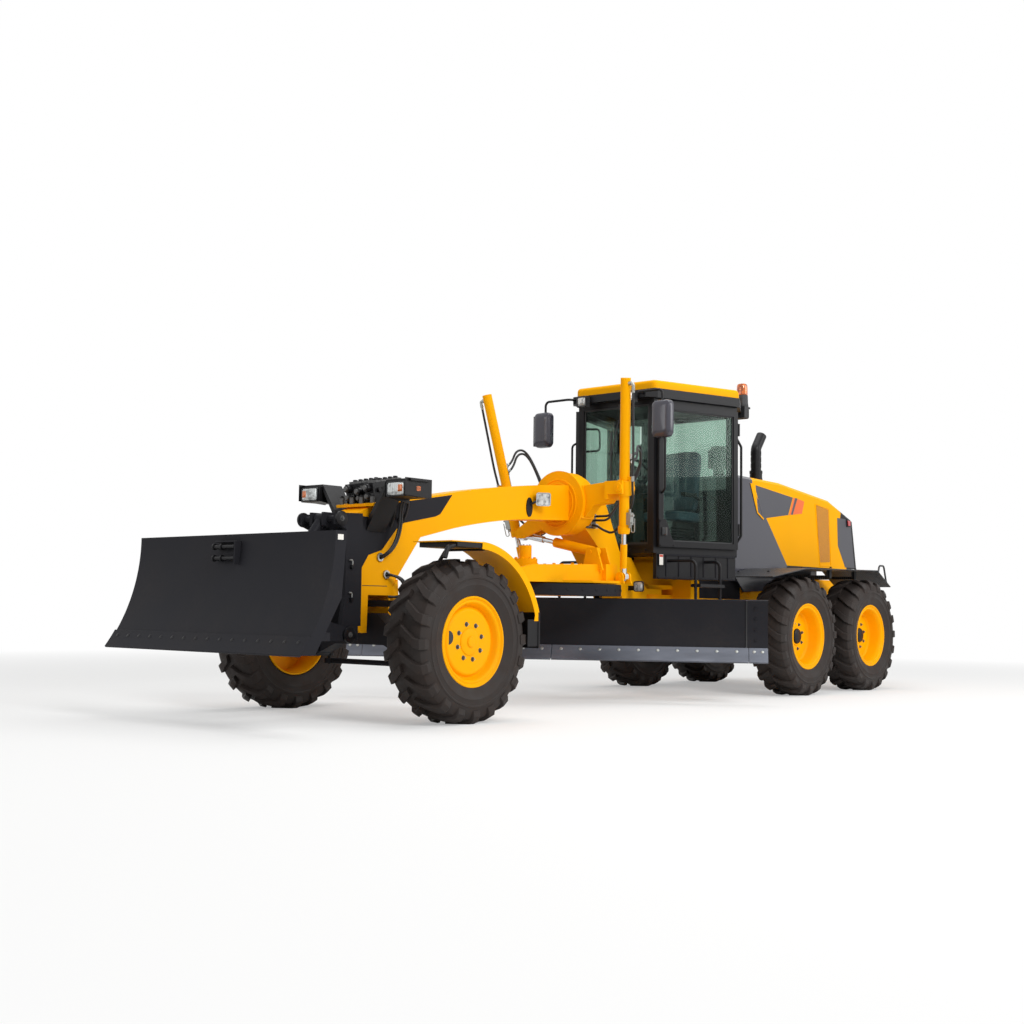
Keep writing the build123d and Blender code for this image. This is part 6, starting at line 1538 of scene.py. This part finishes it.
def rear_details():
    """Reflectors, bolts of the bumper, mudguards and frame, and the tow pin with its handle."""
    form = Form("rear_fittings")
    for side in (1, -1):
        form.lathe(((-0.003, 0.0), (-0.003, 0.042), (0.008, 0.042), (0.010, 0.038), (0.010, 0.0)),
                   at(-8.425, side * 0.700, 1.035), Y * side, "red_lens", 28)
        for y in (0.30, 0.47):
            for z in (0.93, 1.14):
                form.bolt(at(-8.640, side * y, z), -X, 0.034, "yellow_enamel")
        for x in (-5.10, -6.56, -7.20):
            for y in (0.62, 1.0):
                form.bolt(at(x, side * y, 1.4455 if x < -6 else 1.358), Z, 0.022, "black_enamel")
    form.done("chassis", "yellow_paint")
    pin = Form("tow_pin_and_handle")
    pin.lathe(((0.868, 0.0), (0.868, 0.014), (0.874, 0.0188), (1.216, 0.0188), (1.216, 0.030), (1.226, 0.030),
               (1.226, 0.0)), at(-8.590, 0, 0), Z, "zinc", 32)
    pin.pipe(rounded((at(-8.590, -0.012, 1.222), at(-8.590, -0.012, 1.262), at(-8.590, 0.075, 1.262),
                      at(-8.590, 0.075, 1.236)), 0.015), 0.006, "zinc", 10)
    pin.done("chassis", "bare_steel")
    bolts = Form("frame_bolts")
    for side in (1, -1):
        for x in (-5.55, -5.70, -7.00, -7.15):
            for z in (1.12, 1.22):
                bolts.bolt(at(x, side * 0.3898, z), Y * side, 0.034, "yellow_enamel")
    bolts.done("chassis", "yellow_paint")


def drawbar_details():
    """Bolts of the circle drive, of the drawbar's shoes and of the circle's rim."""
    form = Form("drawbar_bolts")
    form.bolt_ring(8, 0.098, at(-2.12, 0, 1.4098), Z, 0.022, "yellow_enamel", pi / 8)
    form.bolt_ring(4, 0.046, at(-2.12, 0, 1.5398), Z, 0.016, start=0.3)
    for side in (1, -1):
        for x in (-2.85, -2.72):
            form.bolt(at(x, side * 0.35, 1.3698), Z, 0.030, "yellow_enamel")
            form.bolt(at(x, side * 0.12, 1.3698), Z, 0.030, "yellow_enamel")
    form.done("drawbar", "yellow_paint")
    gear = Form("circle_bolts")
    for k in range(28):
        a = tau * k / 28
        out = Vector((cos(a), sin(a), 0))
        gear.lathe(((-0.001, 0.0), (-0.001, 0.014), (0.004, 0.014), (0.006, 0.011), (0.006, 0.0)),
                   at(CIRCLE_X, 0, 1.112) + out * 0.689, out, "charcoal_enamel", 12)
    gear.done("circle", "charcoal_paint")


# ---- stage ----
CAMERA_PLACE = (11.380, 8.465, 0.932)
CAMERA_TURN = radians(220.70), radians(4.08), 0.0132     # yaw, pitch and roll
CAMERA_LENS = 46.96                  # mm
FLOOR_HALF = 60.0                    # half the floor's width
AIM_POINT = Vector((0, 0, 1.2))      # what the lamps face
LAMPS = (
    # name, place, size, watts
    ("key_lamp", (6, 14, 11), 6.0, 1400),
    ("front_lamp", (13, -3, 5.5), 6.0, 230),
    ("side_lamp", (-7, 12, 7.0), 7.0, 600),
    ("top_lamp", (-1, 0, 12), 9.0, 700),
)


def place_camera():
    """Camera low in front on the left."""
    camera = bpy.data.cameras.new("camera")
    camera.lens = CAMERA_LENS
    stand = bpy.data.objects.new("camera", camera)
    bpy.context.collection.objects.link(stand)
    yaw, pitch, roll = CAMERA_TURN
    ahead = Vector((cos(yaw) * cos(pitch), sin(yaw) * cos(pitch), sin(pitch)))
    across = Vector((sin(yaw), -cos(yaw), 0))
    up = across.cross(ahead)
    across, up = cos(roll) * across + sin(roll) * up, -sin(roll) * across + cos(roll) * up
    turn = Matrix((across, up, -ahead)).transposed().to_4x4()
    stand.matrix_world = Matrix.Translation(CAMERA_PLACE) @ turn
    bpy.context.scene.camera = stand
    bpy.context.scene.view_settings.view_transform = "Standard"


def lay_floor():
    """Pale floor that glows white to the camera as it goes off, so that it runs into the background."""
    data = bpy.data.meshes.new("floor")
    data.from_pydata([(x * FLOOR_HALF, y * FLOOR_HALF, 0) for x, y in ((-1, -1), (1, -1), (1, 1), (-1, 1))],
                     [], [(0, 1, 2, 3)])
    floor = bpy.data.objects.new("floor", data)
    bpy.context.collection.objects.link(floor)
    floor.location.z = -0.0005
    tree, surface, place = begin("studio_floor")
    surface.inputs["Roughness"].default_value = 0.9
    surface.inputs["Specular IOR Level"].default_value = 0.1
    surface.inputs["Base Color"].default_value = linear("F4F4F3")
    reach = add(tree, "ShaderNodeVectorMath", {"operation": "LENGTH"}, {0: place}).outputs["Value"]
    spread = add(tree, "ShaderNodeMapRange", (), {"Value": reach, "From Min": 6.0, "From Max": 15.0,
                                                  "To Min": 0.35, "To Max": 1.0}).outputs[0]
    seen = add(tree, "ShaderNodeLightPath").outputs["Is Camera Ray"]
    share = add(tree, "ShaderNodeMath", {"operation": "MULTIPLY"}, {0: spread, 1: seen}).outputs[0]
    white = add(tree, "ShaderNodeEmission", (), {"Color": (1, 1, 1, 1), "Strength": 1.0})
    pale = add(tree, "ShaderNodeMixShader", (), {0: share})
    tree.links.new(surface.outputs[0], pale.inputs[1])
    tree.links.new(white.outputs[0], pale.inputs[2])
    tree.links.new(pale.outputs[0], tree.nodes["Material Output"].inputs["Surface"])
    data.materials.append(bpy.data.materials["studio_floor"])


def hang_lamps():
    """Soft square lamps that face the machine."""
    for name, place, size, power in LAMPS:
        lamp = bpy.data.lights.new(name, "AREA")
        lamp.energy = power
        lamp.size = size
        stand = bpy.data.objects.new(name, lamp)
        stand.location = place
        stand.rotation_euler = (AIM_POINT - Vector(place)).to_track_quat("-Z", "Y").to_euler()
        bpy.context.collection.objects.link(stand)


def paint_world():
    """White room to the eye, in mirrors and through glass; dim as a light."""
    world = bpy.data.worlds.new("studio")
    world.use_nodes = True
    tree = world.node_tree
    tree.nodes.clear()
    rays = add(tree, "ShaderNodeLightPath").outputs
    seen = rays["Is Camera Ray"]
    for kind in ("Is Transmission Ray", "Is Glossy Ray"):
        seen = add(tree, "ShaderNodeMath", {"operation": "MAXIMUM"}, {0: seen, 1: rays[kind]}).outputs[0]
    sky = add(tree, "ShaderNodeBackground", (), {"Color": (1, 1, 1, 1), "Strength": 0.32})
    white = add(tree, "ShaderNodeBackground", (), {"Color": (1, 1, 1, 1), "Strength": 1.0})
    blend = add(tree, "ShaderNodeMixShader", (), {0: seen})
    tree.links.new(sky.outputs[0], blend.inputs[1])
    tree.links.new(white.outputs[0], blend.inputs[2])
    tree.links.new(blend.outputs[0], add(tree, "ShaderNodeOutputWorld").inputs["Surface"])
    bpy.context.scene.world = world


def build_stage():
    """Camera, floor, lamps and the white room."""
    place_camera()
    lay_floor()
    hang_lamps()
    paint_world()


def dress_parts():
    """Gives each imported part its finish."""
    for finish, nodes in WORN_BY:
        for name in nodes.split():
            node = NODES[name]
            if not node.material_slots:
                node.data.materials.append(None)
            for slot in node.material_slots:
                slot.material = bpy.data.materials[finish]


# ---- operators ----
class GRADER_OT_finishes(bpy.types.Operator):
    """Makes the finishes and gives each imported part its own"""
    bl_idname = "grader.finishes"
    bl_label = "Finishes"

    def execute(self, context):
        for make in FINISHES:
            make()
        dress_parts()
        return {"FINISHED"}


class GRADER_OT_wheels(bpy.types.Operator):
    """Builds tyres with their lugs, and rims"""
    bl_idname = "grader.wheels"
    bl_label = "Wheels"

    def execute(self, context):
        wheels()
        return {"FINISHED"}


class GRADER_OT_blades(bpy.types.Operator):
    """Builds the edges and bolts of both blades, and the fittings of the front one and its mount"""
    bl_idname = "grader.blades"
    bl_label = "Blades"

    def execute(self, context):
        blade_edges()
        dozer_details()
        mount_details()
        return {"FINISHED"}


class GRADER_OT_nose(bpy.types.Operator):
    """Builds the panels, lamps, valves, axle fittings and mudguard trim of the front"""
    bl_idname = "grader.nose"
    bl_label = "Nose"

    def execute(self, context):
        nose_details()
        headlamp_details()
        valve_details()
        axle_details()
        fender_details()
        return {"FINISHED"}


class GRADER_OT_cylinders(bpy.types.Operator):
    """Builds the fittings of the saddle, cylinders and drawbar, the hoses and the beam's lamps"""
    bl_idname = "grader.cylinders"
    bl_label = "Cylinders and hoses"

    def execute(self, context):
        saddle_details()
        lift_details()
        work_hoses()
        nose_hoses()
        beam_lamps()
        drawbar_details()
        return {"FINISHED"}


class GRADER_OT_cab(bpy.types.Operator):
    """Builds the trim of the cab and its doors, the seat, and the fittings inside and round the cab"""
    bl_idname = "grader.cab"
    bl_label = "Cab"

    def execute(self, context):
        cab_details()
        door_details()
        seat_parts()
        console_details()
        roof_details()
        mirror_details()
        side_details()
        return {"FINISHED"}


class GRADER_OT_rear(bpy.types.Operator):
    """Builds the films, strips and lamps of the hood, and the fittings of its stacks and of the rear"""
    bl_idname = "grader.rear"
    bl_label = "Hood and rear"

    def execute(self, context):
        hood_details()
        stack_details()
        rear_details()
        return {"FINISHED"}


class GRADER_OT_stage(bpy.types.Operator):
    """Builds the floor, lamps, world and camera"""
    bl_idname = "grader.stage"
    bl_label = "Stage"

    def execute(self, context):
        build_stage()
        return {"FINISHED"}


OPERATORS = (GRADER_OT_finishes, GRADER_OT_wheels, GRADER_OT_blades, GRADER_OT_nose, GRADER_OT_cylinders,
             GRADER_OT_cab, GRADER_OT_rear, GRADER_OT_stage)


class GRADER_PT_panel(bpy.types.Panel):
    """Sizes and colours of the grader, and a button for each group"""
    bl_idname = "GRADER_PT_panel"
    bl_label = "Motor grader"
    bl_space_type = "VIEW_3D"
    bl_region_type = "UI"
    bl_category = "Grader"

    def draw(self, context):
        column = self.layout.column()
        for group in (context.scene.grader_colours, context.scene.grader_sizes):
            for name in type(group).__annotations__:
                column.prop(group, name)
        for operator in OPERATORS:
            column.operator(operator.bl_idname)


CLASSES = (GraderColours, GraderSizes, *OPERATORS, GRADER_PT_panel)


def register():
    """Adds the operators, the panel and its settings."""
    for item in CLASSES:
        bpy.utils.register_class(item)
    bpy.types.Scene.grader_colours = bpy.props.PointerProperty(type=GraderColours)
    bpy.types.Scene.grader_sizes = bpy.props.PointerProperty(type=GraderSizes)


def unregister():
    """Takes them away again."""
    del bpy.types.Scene.grader_sizes
    del bpy.types.Scene.grader_colours
    for item in reversed(CLASSES):
        bpy.utils.unregister_class(item)


def main():
    """Builds every group in turn."""
    register()
    for operator in OPERATORS:
        group, name = operator.bl_idname.split(".")
        getattr(getattr(bpy.ops, group), name)()


if __name__ == "__main__":
    main()
